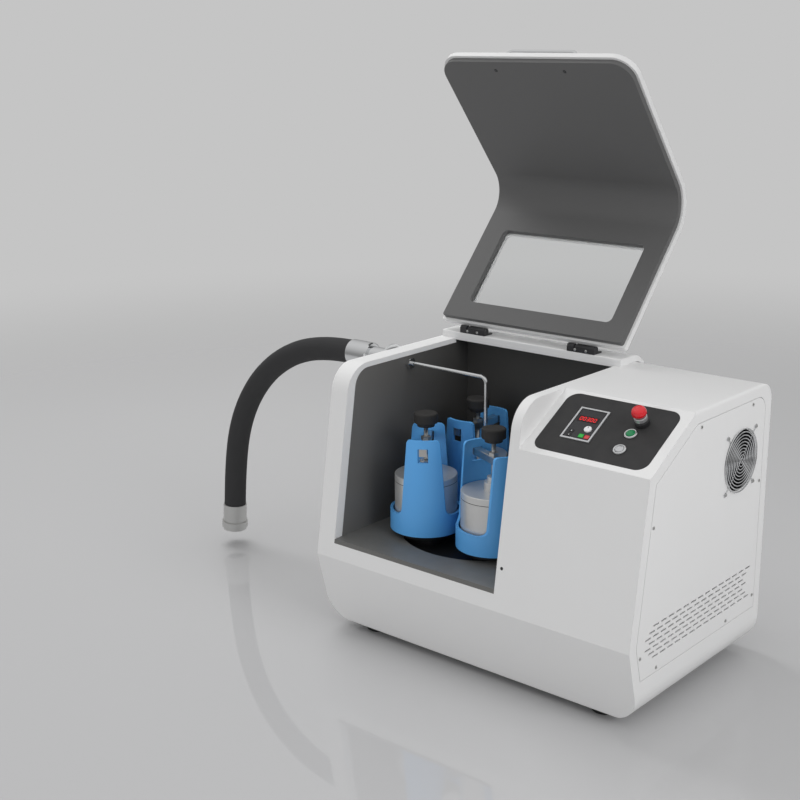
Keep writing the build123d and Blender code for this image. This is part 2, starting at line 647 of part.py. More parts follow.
def make_chamber_liner():
    """Dark liner of the chamber: two side walls and the back."""
    top = CABINET_TOP - SHEET
    hollow = mouth_hollow()
    keep = block(0, WIDTH, -BEYOND, CHAMBER_BACK + LINER, SILL_Z, top)
    x0, x1 = CHAMBER_X0 - LINER, CHAMBER_X1 + LINER
    liner = block(x0, x1, CHAMBER_BACK, CHAMBER_BACK + LINER, SILL_Z, top)
    for low, high in ((x0, CHAMBER_X0), (CHAMBER_X1, x1)):
        liner += through_x(hollow, low, high) & keep
        liner += block(low, high, MOUTH_DEPTH + SHEET, CHAMBER_BACK + LINER, SILL_Z, top)
    return liner - rod_x(INLET_STEM_R + FIT_GAP, -BEYOND, CHAMBER_X0 + BEYOND, DRIVE_Y, INLET_Z)


def make_chamber_floor():
    """Dark floor plate with the turntable's round opening."""
    edge = make_face(Polyline((front_y(SILL_Z), SILL_Z), (CHAMBER_BACK, SILL_Z),
                              (CHAMBER_BACK, FLOOR_TOP), (front_y(FLOOR_TOP), FLOOR_TOP), close=True))
    plate = through_x(edge, CHAMBER_X0, CHAMBER_X1)
    return plate - Pos(DRIVE_X, DRIVE_Y, 0) * drum(FLOOR_HOLE_R, SILL_Z - 1, FLOOR_TOP + 1)


def make_base_frame():
    """Welded frame: four posts on the cabinet's bottom and the drive's deck."""
    frame = block(DECK_X0, DECK_X1, DECK_Y0, DECK_Y1, DECK_BOTTOM, DECK_TOP)
    low = CABINET_BOTTOM + SHEET
    for x in (BOTTOM_CORNER_R + POST, WIDTH - BOTTOM_CORNER_R - POST):
        for y in (DECK_Y0 + POST / 2, DECK_Y1 - POST / 2):
            frame += Pos(x, y, (low + DECK_BOTTOM) / 2) * Box(POST, POST, DECK_BOTTOM - low)
    frame -= Pos(DRIVE_X, DRIVE_Y, 0) * drum(HOUSING_R, DECK_BOTTOM - 1, DECK_TOP + 1)
    shaft_hole = drum(MOTOR_SHAFT_R + MOTOR_SHAFT_HOLE_GAP, DECK_BOTTOM - 1, DECK_TOP + 1)
    frame -= Pos(MOTOR_X, DRIVE_Y, 0) * shaft_hole
    return frame


def make_feet():
    """Four rubber feet."""
    feet = []
    for x in (FOOT_X_INSET, WIDTH - FOOT_X_INSET):
        for y in (FOOT_Y_FRONT, DEPTH - FOOT_Y_BACK):
            foot = drum(FOOT_R, 0, CABINET_BOTTOM)
            feet.append(Pos(x, y, 0) * chamfer(foot.edges().group_by(Axis.Z)[0], FOOT_EDGE))
    return Compound(children=feet)


# ---- gears -----------------------------------------------------------------
def tooth_half_angle(radius):
    """Half the angle of a tooth at a radius, in radians."""
    pitch_r = ORBIT_R / 2
    pressure = radians(PRESSURE_ANGLE)
    at = acos(min(1, pitch_r * cos(pressure) / radius))
    spread = (tan(pressure) - pressure) - (tan(at) - at)
    return pi / (2 * TEETH) - BACKLASH / pitch_r + spread


def gear_face(bore, turn):
    """Spur gear outline with its bore; a tooth points along the turn angle."""
    pitch_r = ORBIT_R / 2
    flank = [pitch_r - DEDENDUM * TOOTH_MODULE, pitch_r, pitch_r + TOOTH_MODULE]
    points = []
    for tooth in range(TEETH):
        middle = radians(turn) + tooth * 2 * pi / TEETH
        for side, radii in ((-1, flank), (1, flank[::-1])):
            for radius in radii:
                angle = middle + side * tooth_half_angle(radius)
                points.append((radius * cos(angle), radius * sin(angle)))
    face = make_face(Polyline(*points, close=True))
    return face - Circle(bore) if bore else face


def planet_turn(station):
    """Turn of a planet gear that puts one of its gaps on the sun's nearest tooth."""
    step = 360 / TEETH
    lead = station % step
    return station + 180 + lead + step / 2


def make_sun_gear():
    """Fixed sun gear on the spindle housing's nose."""
    gear = extrude(gear_face(HOUSING_R, 0), GEAR_WIDTH)
    return Pos(DRIVE_X, DRIVE_Y, GEAR_Z) * gear


def make_spindle_housing():
    """Flanged housing that carries the main shaft and the sun gear."""
    bore = SHAFT_R + SHAFT_GAP
    body = tube(HOUSING_R, bore, DECK_BOTTOM, GEAR_Z + GEAR_WIDTH + HOUSING_NOSE)
    body += tube(HOUSING_FLANGE_R, bore, DECK_TOP, FLANGE_TOP)
    for index in range(HOUSING_BOLTS):
        turn = Rot(0, 0, (index + 0.5) * 360 / HOUSING_BOLTS)
        spot = turn * Pos((HOUSING_R + HOUSING_FLANGE_R) / 2, 0, 0)
        body += spot * drum(HOUSING_BOLT_HEAD_R, FLANGE_TOP, FLANGE_TOP + HOUSING_BOLT_HEAD_H)
    return Pos(DRIVE_X, DRIVE_Y, 0) * body


def make_turntable():
    """Turntable with a bored boss for each planet spindle."""
    disc = drum(TURNTABLE_R, TURNTABLE_BOTTOM, TURNTABLE_TOP)
    for angle in STATION_ANGLES:
        spot = Rot(0, 0, angle) * Pos(ORBIT_R, 0, 0)
        disc += spot * drum(TURNTABLE_BOSS_R, TURNTABLE_BOTTOM - TURNTABLE_BOSS_H, TURNTABLE_BOTTOM)
        disc -= spot * drum(SPINDLE_R + SHAFT_GAP, TURNTABLE_BOTTOM - BEYOND, TURNTABLE_TOP + BEYOND)
    return Pos(DRIVE_X, DRIVE_Y, 0) * disc


def make_main_shaft():
    """Main shaft with its pulley below and its flange under the turntable."""
    shaft = drum(SHAFT_R, PULLEY_BOTTOM - SHAFT_TAIL, TURNTABLE_BOTTOM)
    shaft += drum(MAIN_FLANGE_R, TURNTABLE_BOTTOM - MAIN_FLANGE_H, TURNTABLE_BOTTOM)
    shaft += drum(MAIN_PULLEY_R, PULLEY_BOTTOM, PULLEY_TOP)
    shaft += drum(SHAFT_R * 2, PULLEY_TOP, DECK_BOTTOM - THRUST_GAP)
    return Pos(DRIVE_X, DRIVE_Y, 0) * shaft


def make_motor_pulley():
    """Motor pulley on the motor's output shaft."""
    body = drum(MOTOR_PULLEY_R, PULLEY_BOTTOM, PULLEY_TOP)
    body += drum(MOTOR_SHAFT_R, PULLEY_TOP, DECK_TOP + MOTOR_SHAFT_IN)
    return Pos(MOTOR_X, DRIVE_Y, 0) * body


def make_drive_motor():
    """Upright flange motor with its terminal box, on the deck."""
    top = DECK_TOP + MOTOR_LENGTH
    body = drum(MOTOR_R, DECK_TOP + MOTOR_FLANGE_H, top)
    body += Pos(0, 0, DECK_TOP + MOTOR_FLANGE_H / 2) * Box(MOTOR_FLANGE, MOTOR_FLANGE, MOTOR_FLANGE_H)
    body += Pos(0, MOTOR_R, (DECK_TOP + top) / 2) * Box(*MOTOR_BOX)
    body = chamfer(body.edges().group_by(Axis.Z)[-1], MOTOR_TOP_EDGE)
    body -= drum(MOTOR_SHAFT_R + SHAFT_GAP, DECK_TOP - 1, DECK_TOP + MOTOR_SHAFT_IN + THRUST_GAP)
    return Pos(MOTOR_X, DRIVE_Y, 0) * body


def make_drive_belt():
    """Flat belt round the two pulleys."""
    def loop(grow):
        wheels = Pos(DRIVE_X, DRIVE_Y) * Circle(MAIN_PULLEY_R + grow)
        wheels += Pos(MOTOR_X, DRIVE_Y) * Circle(MOTOR_PULLEY_R + grow)
        return make_hull(wheels.edges())
    ring = loop(FIT_GAP + BELT_THICK) - loop(FIT_GAP)
    return Pos(0, 0, (PULLEY_TOP + PULLEY_BOTTOM - BELT_WIDTH) / 2) * extrude(ring, BELT_WIDTH)


# ---- stations --------------------------------------------------------------
def station_place(index):
    """Where one station's own axis stands."""
    angle = radians(STATION_ANGLES[index])
    return Pos(DRIVE_X + ORBIT_R * cos(angle), DRIVE_Y + ORBIT_R * sin(angle), 0)


def make_planet_spindle(index):
    """Planet spindle with its gear below and the holder's seat above."""
    gear = Pos(0, 0, GEAR_Z) * extrude(gear_face(0, planet_turn(STATION_ANGLES[index])), GEAR_WIDTH)
    body = gear + drum(SPINDLE_R, GEAR_Z + GEAR_WIDTH, TURNTABLE_TOP + THRUST_GAP)
    body += drum(SPINDLE_NECK_R, TURNTABLE_TOP + THRUST_GAP, SEAT_TOP - SPINDLE_SEAT_H)
    body += drum(SPINDLE_SEAT_R, SEAT_TOP - SPINDLE_SEAT_H, SEAT_TOP)
    return station_place(index) * body


def make_jar_holder(index):
    """Jar holder: a ring with two tapered uprights, each with a window for the bar."""
    inner = HOLDER_R - HOLDER_WALL
    rim = SEAT_TOP + HOLDER_RIM
    lean = HOLDER_R - HOLDER_TOP_R
    wall = make_face(Polyline((0, SEAT_TOP), (HOLDER_R, SEAT_TOP), (HOLDER_R, rim),
                              (HOLDER_TOP_R, HOLDER_TOP), (inner - lean, HOLDER_TOP), (inner, rim),
                              (inner, HOLDER_FLOOR), (0, HOLDER_FLOOR), close=True))
    cup = revolve(Plane.XZ * wall, Axis.Z)
    half_top, half_foot = UPRIGHT_TOP_W / 2, UPRIGHT_FOOT_W / 2
    wide = 2 * HOLDER_R
    keep = outline([(-wide, SEAT_TOP - 1), (wide, SEAT_TOP - 1), (wide, rim), (half_foot, rim),
                    (half_top, HOLDER_TOP), (-half_top, HOLDER_TOP), (-half_foot, rim), (-wide, rim)],
                   {3: UPRIGHT_FOOT_R, 4: UPRIGHT_TOP_R, 5: UPRIGHT_TOP_R, 6: UPRIGHT_FOOT_R})
    holder = cup & extrude(Plane.XZ * keep, wide, both=True)
    holder -= Pos(0, 0, BAR_TOP - WINDOW_H / 2) * Box(WINDOW_W, 2 * wide, WINDOW_H)
    return station_place(index) * Rot(0, 0, HOLDER_YAW[index]) * holder


def make_grinding_jar(index):
    """Grinding jar: a thick cup."""
    jar = drum(JAR_R, HOLDER_FLOOR, JAR_TOP)
    jar = fillet(jar.edges().group_by(Axis.Z)[0], JAR_EDGE)
    jar -= drum(JAR_R - JAR_WALL, HOLDER_FLOOR + JAR_BASE, JAR_TOP + 1)
    return station_place(index) * jar


def lid_tip_z(index):
    """Top of a jar lid's boss, where its clamp screw presses."""
    return JAR_TOP + JAR_LID_H + LID_BOSS_H + LID_TIP_H + LID_RISE[index]


def make_jar_lid(index):
    """Stepped jar lid with its spigot and pull boss."""
    top = JAR_TOP + JAR_LID_H
    lid = drum(JAR_R, JAR_TOP, top)
    lid = fillet(lid.edges().group_by(Axis.Z)[-1], JAR_LID_EDGE)
    lid += drum(JAR_R - JAR_WALL - FIT_GAP, JAR_TOP - JAR_LID_SPIGOT, JAR_TOP)
    lid += drum(LID_BOSS_R, top, top + LID_BOSS_H)
    lid += drum(LID_TIP_R, top + LID_BOSS_H, lid_tip_z(index))
    groove = tube(JAR_R + 1, JAR_R - JAR_SEAL_GROOVE, JAR_TOP, JAR_TOP + JAR_SEAL_GROOVE)
    return station_place(index) * (lid - groove)


def make_clamp_bar(index):
    """Cross bar through both windows, bored for the clamp screw."""
    bar = Pos(0, 0, BAR_TOP - BAR_H / 2) * Box(BAR_W, BAR_LENGTH, BAR_H)
    bar = chamfer(bar.edges().filter_by(Axis.Y), BAR_EDGE)
    bar += drum(BAR_BOSS_R, BAR_TOP - 1, BAR_TOP + BAR_BOSS_H)
    bar -= drum(CLAMP_SCREW_R + SHAFT_GAP, BAR_TOP - BEYOND, BAR_TOP + BEYOND)
    return station_place(index) * Rot(0, 0, HOLDER_YAW[index]) * bar


def knob_z(index):
    """Underside of a clamp knob's hub."""
    return BAR_TOP + BAR_BOSS_H + KNOB_GAP + LID_RISE[index]


def make_clamp_knob(index):
    """Clamp knob with its screw."""
    low = knob_z(index)
    rim = low + KNOB_HUB_H
    top = rim + KNOB_H
    profile = outline([(0, low), (KNOB_HUB_R, low), (KNOB_HUB_R + KNOB_HUB_FLARE, rim), (KNOB_R, rim),
                       (KNOB_R, top), (0, top)], {3: KNOB_LOW_EDGE, 4: KNOB_TOP_EDGE})
    knob = revolve(Plane.XZ * profile, Axis.Z)
    return station_place(index) * (knob + drum(CLAMP_SCREW_R, lid_tip_z(index), low + 1))


# ---- console pieces --------------------------------------------------------
def make_control_panel():
    """Dark plate set into the console."""
    return panel_plate(0, -PANEL_THICK, 0) - console_cuts()


def make_inverter():
    """Drive inverter behind the console, its framed keypad face in front."""
    body = Pos(KEYPAD_X, KEYPAD_UP, -INVERTER_DEPTH / 2) * Box(KEYPAD_W, KEYPAD_H, INVERTER_DEPTH)
    body += Pos(KEYPAD_X, KEYPAD_UP, KEYPAD_RIM / 2) * Box(KEYPAD_W, KEYPAD_H, KEYPAD_RIM)
    inner = Box(KEYPAD_W - 2 * KEYPAD_FRAME, KEYPAD_H - 2 * KEYPAD_FRAME, KEYPAD_RIM)
    body -= Pos(KEYPAD_X, KEYPAD_UP, KEYPAD_RIM) * inner
    hole = drum(DIAL_STEM_R + SHAFT_GAP, -DIAL_STEM - KEYPAD_RIM, KEYPAD_RIM)
    body -= Pos(KEYPAD_X + DIAL_AT[0], KEYPAD_UP + DIAL_AT[1], 0) * hole
    return CONSOLE * body


def make_speed_dial():
    """Speed dial of the keypad."""
    low = KEYPAD_RIM / 2 + RUN_GAP
    dial = chamfer(drum(DIAL_R, low, low + DIAL_HEIGHT).edges().group_by(Axis.Z)[-1], DIAL_EDGE)
    dial += drum(DIAL_STEM_R, -DIAL_STEM, low)
    return CONSOLE * (Pos(KEYPAD_X + DIAL_AT[0], KEYPAD_UP + DIAL_AT[1], 0) * dial)


def button_bore(up):
    """Running bore of a push button's collar."""
    return console_drum(BUTTON_R + RUN_GAP, BUTTON_X, up, BUTTON_FLOOR - BUTTON_BARREL, BEYOND)


def push_button_collar(up):
    """A push button's chrome collar with its barrel."""
    body = console_drum(BUTTON_COLLAR_R, BUTTON_X, up, 0, BUTTON_COLLAR_H)
    body += console_drum(BUTTON_BARREL_R, BUTTON_X, up, -BUTTON_BARREL, BUTTON_COLLAR_H)
    return body - button_bore(up)


def make_push_button(up):
    """A push button's cap with its stem."""
    low = BUTTON_FLOOR - BUTTON_BARREL + BUTTON_TRAVEL + RUN_GAP
    return console_drum(BUTTON_R, BUTTON_X, up, low, BUTTON_COLLAR_H + BUTTON_PROUD)


def estop_collar():
    """Emergency stop's base and collar, with its barrel."""
    mid = ESTOP_BASE_H + ESTOP_COLLAR_H
    body = console_drum(ESTOP_BASE_R, ESTOP_X, ESTOP_UP, 0, ESTOP_BASE_H)
    body += console_drum(ESTOP_COLLAR_R, ESTOP_X, ESTOP_UP, ESTOP_BASE_H, mid)
    body += console_drum(BUTTON_BARREL_R, ESTOP_X, ESTOP_UP, -BUTTON_BARREL, ESTOP_BASE_H)
    bore_low = BUTTON_FLOOR - BUTTON_BARREL
    return body - console_drum(ESTOP_STEM_R + RUN_GAP, ESTOP_X, ESTOP_UP, bore_low, BEYOND)


def make_button_collars():
    """Fixed rims and barrels of the two push buttons and the emergency stop."""
    return Compound(children=[push_button_collar(START_UP), push_button_collar(POWER_UP), estop_collar()])


def make_estop_head():
    """Emergency stop's mushroom head with its stem."""
    low = ESTOP_BASE_H + ESTOP_COLLAR_H + ESTOP_TRAVEL + RUN_GAP
    top = low + ESTOP_HEAD_H
    profile = outline([(0, low), (ESTOP_HEAD_R, low), (ESTOP_HEAD_R, low + ESTOP_HEAD_EDGE),
                       (ESTOP_HEAD_R - ESTOP_HEAD_EDGE, top), (0, top)],
                      {2: ESTOP_HEAD_DOME, 3: ESTOP_HEAD_DOME})
    head = CONSOLE * (Pos(ESTOP_X, ESTOP_UP, 0) * revolve(Plane.XZ * profile, Axis.Z))
    stem_low = BUTTON_FLOOR - BUTTON_BARREL + ESTOP_TRAVEL + RUN_GAP
    return head + console_drum(ESTOP_STEM_R, ESTOP_X, ESTOP_UP, stem_low, low + 1)


# ---- lid and hinges --------------------------------------------------------
LEAN = radians(FRONT_LEAN)
LID_END = Plane(origin=(0, LID_FREE_GAP * sin(LEAN), KNEE_Z + LID_FREE_GAP * cos(LEAN)),
                x_dir=(1, 0, 0), z_dir=(0, -cos(LEAN), sin(LEAN)))
LID_SPAN = 4 * DEPTH
OPENED = Pos(0, PIVOT_Y, PIVOT_Z) * Rot(-LID_OPEN, 0, 0) * Pos(0, -PIVOT_Y, -PIVOT_Z)


def lid_layer(near, far, inset):
    """One layer of the closed lid, between two distances from the cabinet."""
    ring = grown(SIDE, far) - grown(SIDE, near)
    layer = through_x(ring, LID_X0 + inset, LID_X1 - inset)
    x_mid, wide = (LID_X0 + LID_X1) / 2, LID_X1 - LID_X0 - 2 * inset
    free = outline([(x_mid - wide / 2, inset), (x_mid + wide / 2, inset), (x_mid + wide / 2, LID_SPAN),
                    (x_mid - wide / 2, LID_SPAN)], {0: LID_FREE_R - inset, 1: LID_FREE_R - inset})
    hinge_end = outline([(x_mid - wide / 2, LID_END_Y - inset), (x_mid + wide / 2, LID_END_Y - inset),
                         (x_mid + wide / 2, -LID_SPAN), (x_mid - wide / 2, -LID_SPAN)],
                        {0: LID_HINGE_R, 1: LID_HINGE_R})
    layer = layer & (LID_END * extrude(free, LID_SPAN, both=True))
    return layer & extrude(hinge_end, LID_SPAN)


def lid_window(grow, z0, z1):
    """A prism over the lid's window, grown all round."""
    y0, y1 = LID_END_Y - WINDOW_FAR, LID_END_Y - WINDOW_NEAR
    face = Pos((WINDOW_X0 + WINDOW_X1) / 2, (y0 + y1) / 2, z0) * RectangleRounded(
        WINDOW_X1 - WINDOW_X0 + 2 * grow, y1 - y0 + 2 * grow, WINDOW_R + grow)
    return extrude(face, z1 - z0)


PANE_Z = LID_INNER_Z + LID_LINER


def make_lid_shell():
    """Painted outer shell of the lid."""
    shell = lid_layer(LID_GAP + LID_LINER, LID_GAP + LID_THICK, 0)
    shell -= lid_window(0, LID_INNER_Z - 1, LID_INNER_Z + LID_THICK + 1)
    shell -= lid_window(PANE_LAP + FIT_GAP, PANE_Z - 1, PANE_Z + PANE_THICK)
    return OPENED * shell


def make_lid_liner():
    """Dark inner liner of the lid."""
    liner = lid_layer(LID_GAP, LID_GAP + LID_LINER, LINER_INSET)
    return OPENED * (liner - lid_window(0, LID_INNER_Z - 1, PANE_Z + 1))


def make_window_pane():
    """Clear pane, held between the shell and the liner."""
    return OPENED * lid_window(PANE_LAP, PANE_Z, PANE_Z + PANE_THICK)


def make_lid_handle():
    """Bar handle on the lid's front, near its free end."""
    face_h = LID_GAP + LID_THICK
    half = HANDLE_PITCH / 2
    top = face_h + HANDLE_REACH
    path = FilletPolyline((HANDLE_X - half, HANDLE_FROM_END, face_h), (HANDLE_X - half, HANDLE_FROM_END, top),
                          (HANDLE_X + half, HANDLE_FROM_END, top), (HANDLE_X + half, HANDLE_FROM_END, face_h),
                          radius=HANDLE_BEND_R)
    start = Plane(origin=path @ 0, z_dir=path % 0)
    handle = sweep(start * Circle(HANDLE_BAR_R), path)
    return OPENED * (LID_END * handle)


def beam_face():
    """Section of the hinge beam in the YZ plane."""
    top = CABINET_TOP + BEAM_H
    flat = MOUTH_DEPTH + BEAM_FLAT
    tail_y = DEPTH + BEAM_OVERHANG
    tail_z = CABINET_TOP - BEAM_TAIL
    lift = DEPTH - BACK_TOP_R
    chord = hypot(tail_y - flat, top - tail_z)
    outer = [Line((MOUTH_DEPTH, CABINET_TOP), (MOUTH_DEPTH, top)), Line((MOUTH_DEPTH, top), (flat, top)),
             RadiusArc((flat, top), (tail_y, tail_z), chord * BEAM_BULGE),
             Line((tail_y, tail_z), (tail_y - BEAM_SKIN, tail_z)),
             RadiusArc((tail_y - BEAM_SKIN, tail_z), (lift, CABINET_TOP), -hypot(tail_y - lift, BEAM_TAIL)),
             Line((lift, CABINET_TOP), (MOUTH_DEPTH, CABINET_TOP))]
    return make_face(outer)


def make_hinge_beam():
    """Moulded beam behind the mouth that carries both hinges."""
    beam = through_x(beam_face(), BEAM_X0, BEAM_X1)
    corner = (BEAM_X0, MOUTH_DEPTH, CABINET_TOP + BEAM_H)
    top_edge = beam.edges().filter_by(Axis.X).sort_by_distance(corner)[0]
    return fillet(top_edge, BEAM_EDGE)


def make_hinge_brackets():
    """Two fixed hinge brackets with their pins."""
    brackets = []
    for x in HINGE_X:
        front = MOUTH_DEPTH + HINGE_FRONT
        body = block(x, x + HINGE_W, front, front + HINGE_D, PLATE_Z, PLATE_Z + HINGE_PLATE)
        body += block(x, x + HINGE_W, front, front + HINGE_WEB, PLATE_Z, PIVOT_Z)
        for ear in (x, x + HINGE_W - HINGE_EAR_W):
            body += rod_x(HINGE_EAR_R, ear, ear + HINGE_EAR_W, PIVOT_Y, PIVOT_Z)
            body += block(ear, ear + HINGE_EAR_W, PIVOT_Y - HINGE_EAR_R, PIVOT_Y + HINGE_EAR_R,
                          PLATE_Z, PIVOT_Z)
        body += rod_x(HINGE_PIN_R, x, x + HINGE_W, PIVOT_Y, PIVOT_Z)
        brackets.append(body)
    return Compound(children=brackets)


def make_hinge_arms():
    """Two moving hinge arms on the lid's outer face."""
    arms = []
    top = LID_INNER_Z + LID_THICK
    for x in HINGE_X:
        x0 = x + (HINGE_W - ARM_W) / 2
        arm = rod_x(KNUCKLE_R, x0, x0 + ARM_W, PIVOT_Y, PIVOT_Z)
        arm += block(x0, x0 + ARM_W, PIVOT_Y - HINGE_ARM, PIVOT_Y, top, top + HINGE_ARM_H)
        arms.append(arm - rod_x(HINGE_PIN_R + SHAFT_GAP, x, x + HINGE_W, PIVOT_Y, PIVOT_Z))
    return OPENED * Compound(children=arms)


# ---- gas supply and mains --------------------------------------------------
HOSE_START_X = -(INLET_FLANGE_H + INLET_NECK + COLLAR_LENGTH)


def rod_along(radius, x0, x1):
    """A cylinder on the inlet's axis."""
    return rod_x(radius, min(x0, x1), max(x0, x1), DRIVE_Y, INLET_Z)


def make_inlet_fitting():
    """Wall flange, neck and collar outside, stem and nut inside."""
    neck_x = -INLET_FLANGE_H - INLET_NECK
    body = rod_along(INLET_FLANGE_R, -INLET_FLANGE_H, 0)
    body = chamfer(body.edges().group_by(Axis.X)[0], INLET_FLANGE_EDGE)
    body += rod_along(INLET_NECK_R, neck_x, -INLET_FLANGE_H)
    collar = rod_along(COLLAR_R, HOSE_START_X, neck_x)
    body += chamfer(collar.edges(), COLLAR_EDGE)
    body += rod_along(INLET_STEM_R, 0, CHAMBER_X0)
    nut = Plane.YZ.offset(CHAMBER_X0) * RegularPolygon(NUT_ACROSS / 2, 6, major_radius=False)
    body += Pos(0, DRIVE_Y, INLET_Z) * extrude(nut, NUT_LENGTH)
    return body


def make_nozzle_tube():
    """Bent spray tube that ends over the turntable's centre."""
    start_x = CHAMBER_X0 + NUT_LENGTH
    path = FilletPolyline((start_x, DRIVE_Y, INLET_Z), (DRIVE_X, DRIVE_Y, INLET_Z),
                          (DRIVE_X, DRIVE_Y, INLET_Z - TUBE_DROP), radius=TUBE_BEND_R)
    start = Plane(origin=path @ 0, z_dir=path % 0)
    return sweep(start * Circle(TUBE_R), path)


def hose_points():
    """The hose's route in the cabinet's frame."""
    return [Vector(HOSE_START_X + x, DRIVE_Y + y, INLET_Z + z) for x, y, z in HOSE_ROUTE]


def hose_radii(points):
    """One bend radius for each inner point of the route."""
    radii = []
    for before, here, after in zip(points, points[1:], points[2:]):
        first, second = here - before, after - here
        turn = radians(first.get_angle(second))
        radii.append(ARC_SHARE * min(first.length, second.length) / tan(turn / 2))
    return radii


def make_hose():
    """Insulated supply hose, hanging from its collar."""
    points = hose_points()
    radii = hose_radii(points)
    path = FilletPolyline(*points, radius=radii)
    print("hose radii", [round(r) for r in radii], "length", round(path.length, 1))
    hose = sweep(Plane(origin=path @ 0, z_dir=path % 0) * Circle(HOSE_R), path)
    print("hose volume ratio", round(hose.volume / (path.length * pi * HOSE_R ** 2), 4))
    return hose


def make_hose_coupling():
    """Coupling on the hose's free end, with its socket."""
    points = hose_points()
    along = (points[-1] - points[-2]).normalized()
    place = Plane(origin=points[-1], z_dir=along)
    body = drum(COUPLING_R, 0, COUPLING_LENGTH)
    ring = COUPLING_LENGTH - COUPLING_LIP
    body += drum(COUPLING_RING_R, ring - COUPLING_RING, ring)
    body -= drum(COUPLING_BORE_R, COUPLING_LENGTH - COUPLING_BORE, COUPLING_LENGTH + 1)
    return place * body


def make_mains_inlet():
    """Mains inlet in the back, bare of its lead."""
    body = Pos(0, -MAINS_DEPTH / 2, 0) * Box(MAINS_W - 2 * FIT_GAP, MAINS_DEPTH, MAINS_H - 2 * FIT_GAP)
    body += Pos(0, MAINS_LIP / 2, 0) * Box(MAINS_W + 2 * MAINS_RIM, MAINS_LIP, MAINS_H + 2 * MAINS_RIM)
    socket_back = 2 * MAINS_LIP - MAINS_DEPTH
    body -= Pos(0, socket_back + BEYOND / 2, 0) * Box(MAINS_SOCKET_W, BEYOND, MAINS_SOCKET_H)
    for side in (-1, 0, 1):
        body += Pos(side * MAINS_PIN_PITCH, socket_back + MAINS_PIN[1] / 2 - 1, 0) * Box(*MAINS_PIN)
    return Pos(MAINS_X, DEPTH, CABINET_BOTTOM + MAINS_HEIGHT) * body


# ---- all nodes -------------------------------------------------------------
def make_nodes():
    """Every node of the machine, in the cabinet's frame."""
    nodes = {
        "cabinet_shell": make_cabinet_shell(),
        "side_panel": make_side_panel(),
        "panel_screws": make_panel_screws(),
        "fan_guard": make_fan_guard(),
        "fan_housing": make_fan_housing(),
        "fan_rotor": make_fan_rotor(),
        "chamber_liner": make_chamber_liner(),
        "chamber_floor": make_chamber_floor(),
        "base_frame": make_base_frame(),
        "feet": make_feet(),
        "spindle_housing": make_spindle_housing(),
        "sun_gear": make_sun_gear(),
        "turntable": make_turntable(),
        "main_shaft": make_main_shaft(),
        "motor_pulley": make_motor_pulley(),
        "drive_motor": make_drive_motor(),
        "drive_belt": make_drive_belt(),
        "inverter": make_inverter(),
        "speed_dial": make_speed_dial(),
        "control_panel": make_control_panel(),
        "button_collars": make_button_collars(),
        "estop_head": make_estop_head(),
        "start_button": make_push_button(START_UP),
        "power_button": make_push_button(POWER_UP),
        "lid_shell": make_lid_shell(),
        "lid_liner": make_lid_liner(),
        "window_pane": make_window_pane(),
        "lid_handle": make_lid_handle(),
        "hinge_beam": make_hinge_beam(),
        "hinge_brackets": make_hinge_brackets(),
        "hinge_arms": make_hinge_arms(),
        "inlet_fitting": make_inlet_fitting(),
        "nozzle_tube": make_nozzle_tube(),
        "supply_hose": make_hose(),
        "hose_coupling": make_hose_coupling(),
        "mains_inlet": make_mains_inlet(),
    }
    for index in range(len(STATION_ANGLES)):
        number = index + 1
        nodes[f"planet_spindle_{number}"] = make_planet_spindle(index)
        nodes[f"jar_holder_{number}"] = make_jar_holder(index)
        nodes[f"grinding_jar_{number}"] = make_grinding_jar(index)
        nodes[f"jar_lid_{number}"] = make_jar_lid(index)
        nodes[f"clamp_bar_{number}"] = make_clamp_bar(index)
        nodes[f"clamp_knob_{number}"] = make_clamp_knob(index)
    return nodes


HOSE_NODES = ("inlet_fitting", "supply_hose", "hose_coupling")


def machine_origin(nodes):
    """Bottom centre of the machine's box, without the hose and its fittings."""
    boxes = [shape.bounding_box() for name, shape in nodes.items() if name not in HOSE_NODES]
    x = (min(b.min.X for b in boxes) + max(b.max.X for b in boxes)) / 2
    y = (min(b.min.Y for b in boxes) + max(b.max.Y for b in boxes)) / 2
    return Vector(x, y, min(b.min.Z for b in boxes))


NODES = make_nodes()
ORIGIN = machine_origin(NODES)
os.makedirs("parts", exist_ok=True)
for node_name, node_shape in NODES.items():
    export_step(Pos(-ORIGIN.X, -ORIGIN.Y, -ORIGIN.Z) * node_shape, f"parts/{node_name}.step")
print("nodes", len(NODES), "origin", ORIGIN)
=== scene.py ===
"""Planetary ball mill: camera, light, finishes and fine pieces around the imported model.

Lengths are in metres. Places are given in the cabinet's own frame, where X starts at
its left side, Y at the knee of its front and Z at the bench, and are moved into the
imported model's frame by in_frame(), by set_at() or by a matrix of the Places class.
"""
import json
import logging
import math
from dataclasses import dataclass, replace
from enum import Enum
from typing import Optional, Sequence

import bpy
from mathutils import Matrix, Vector

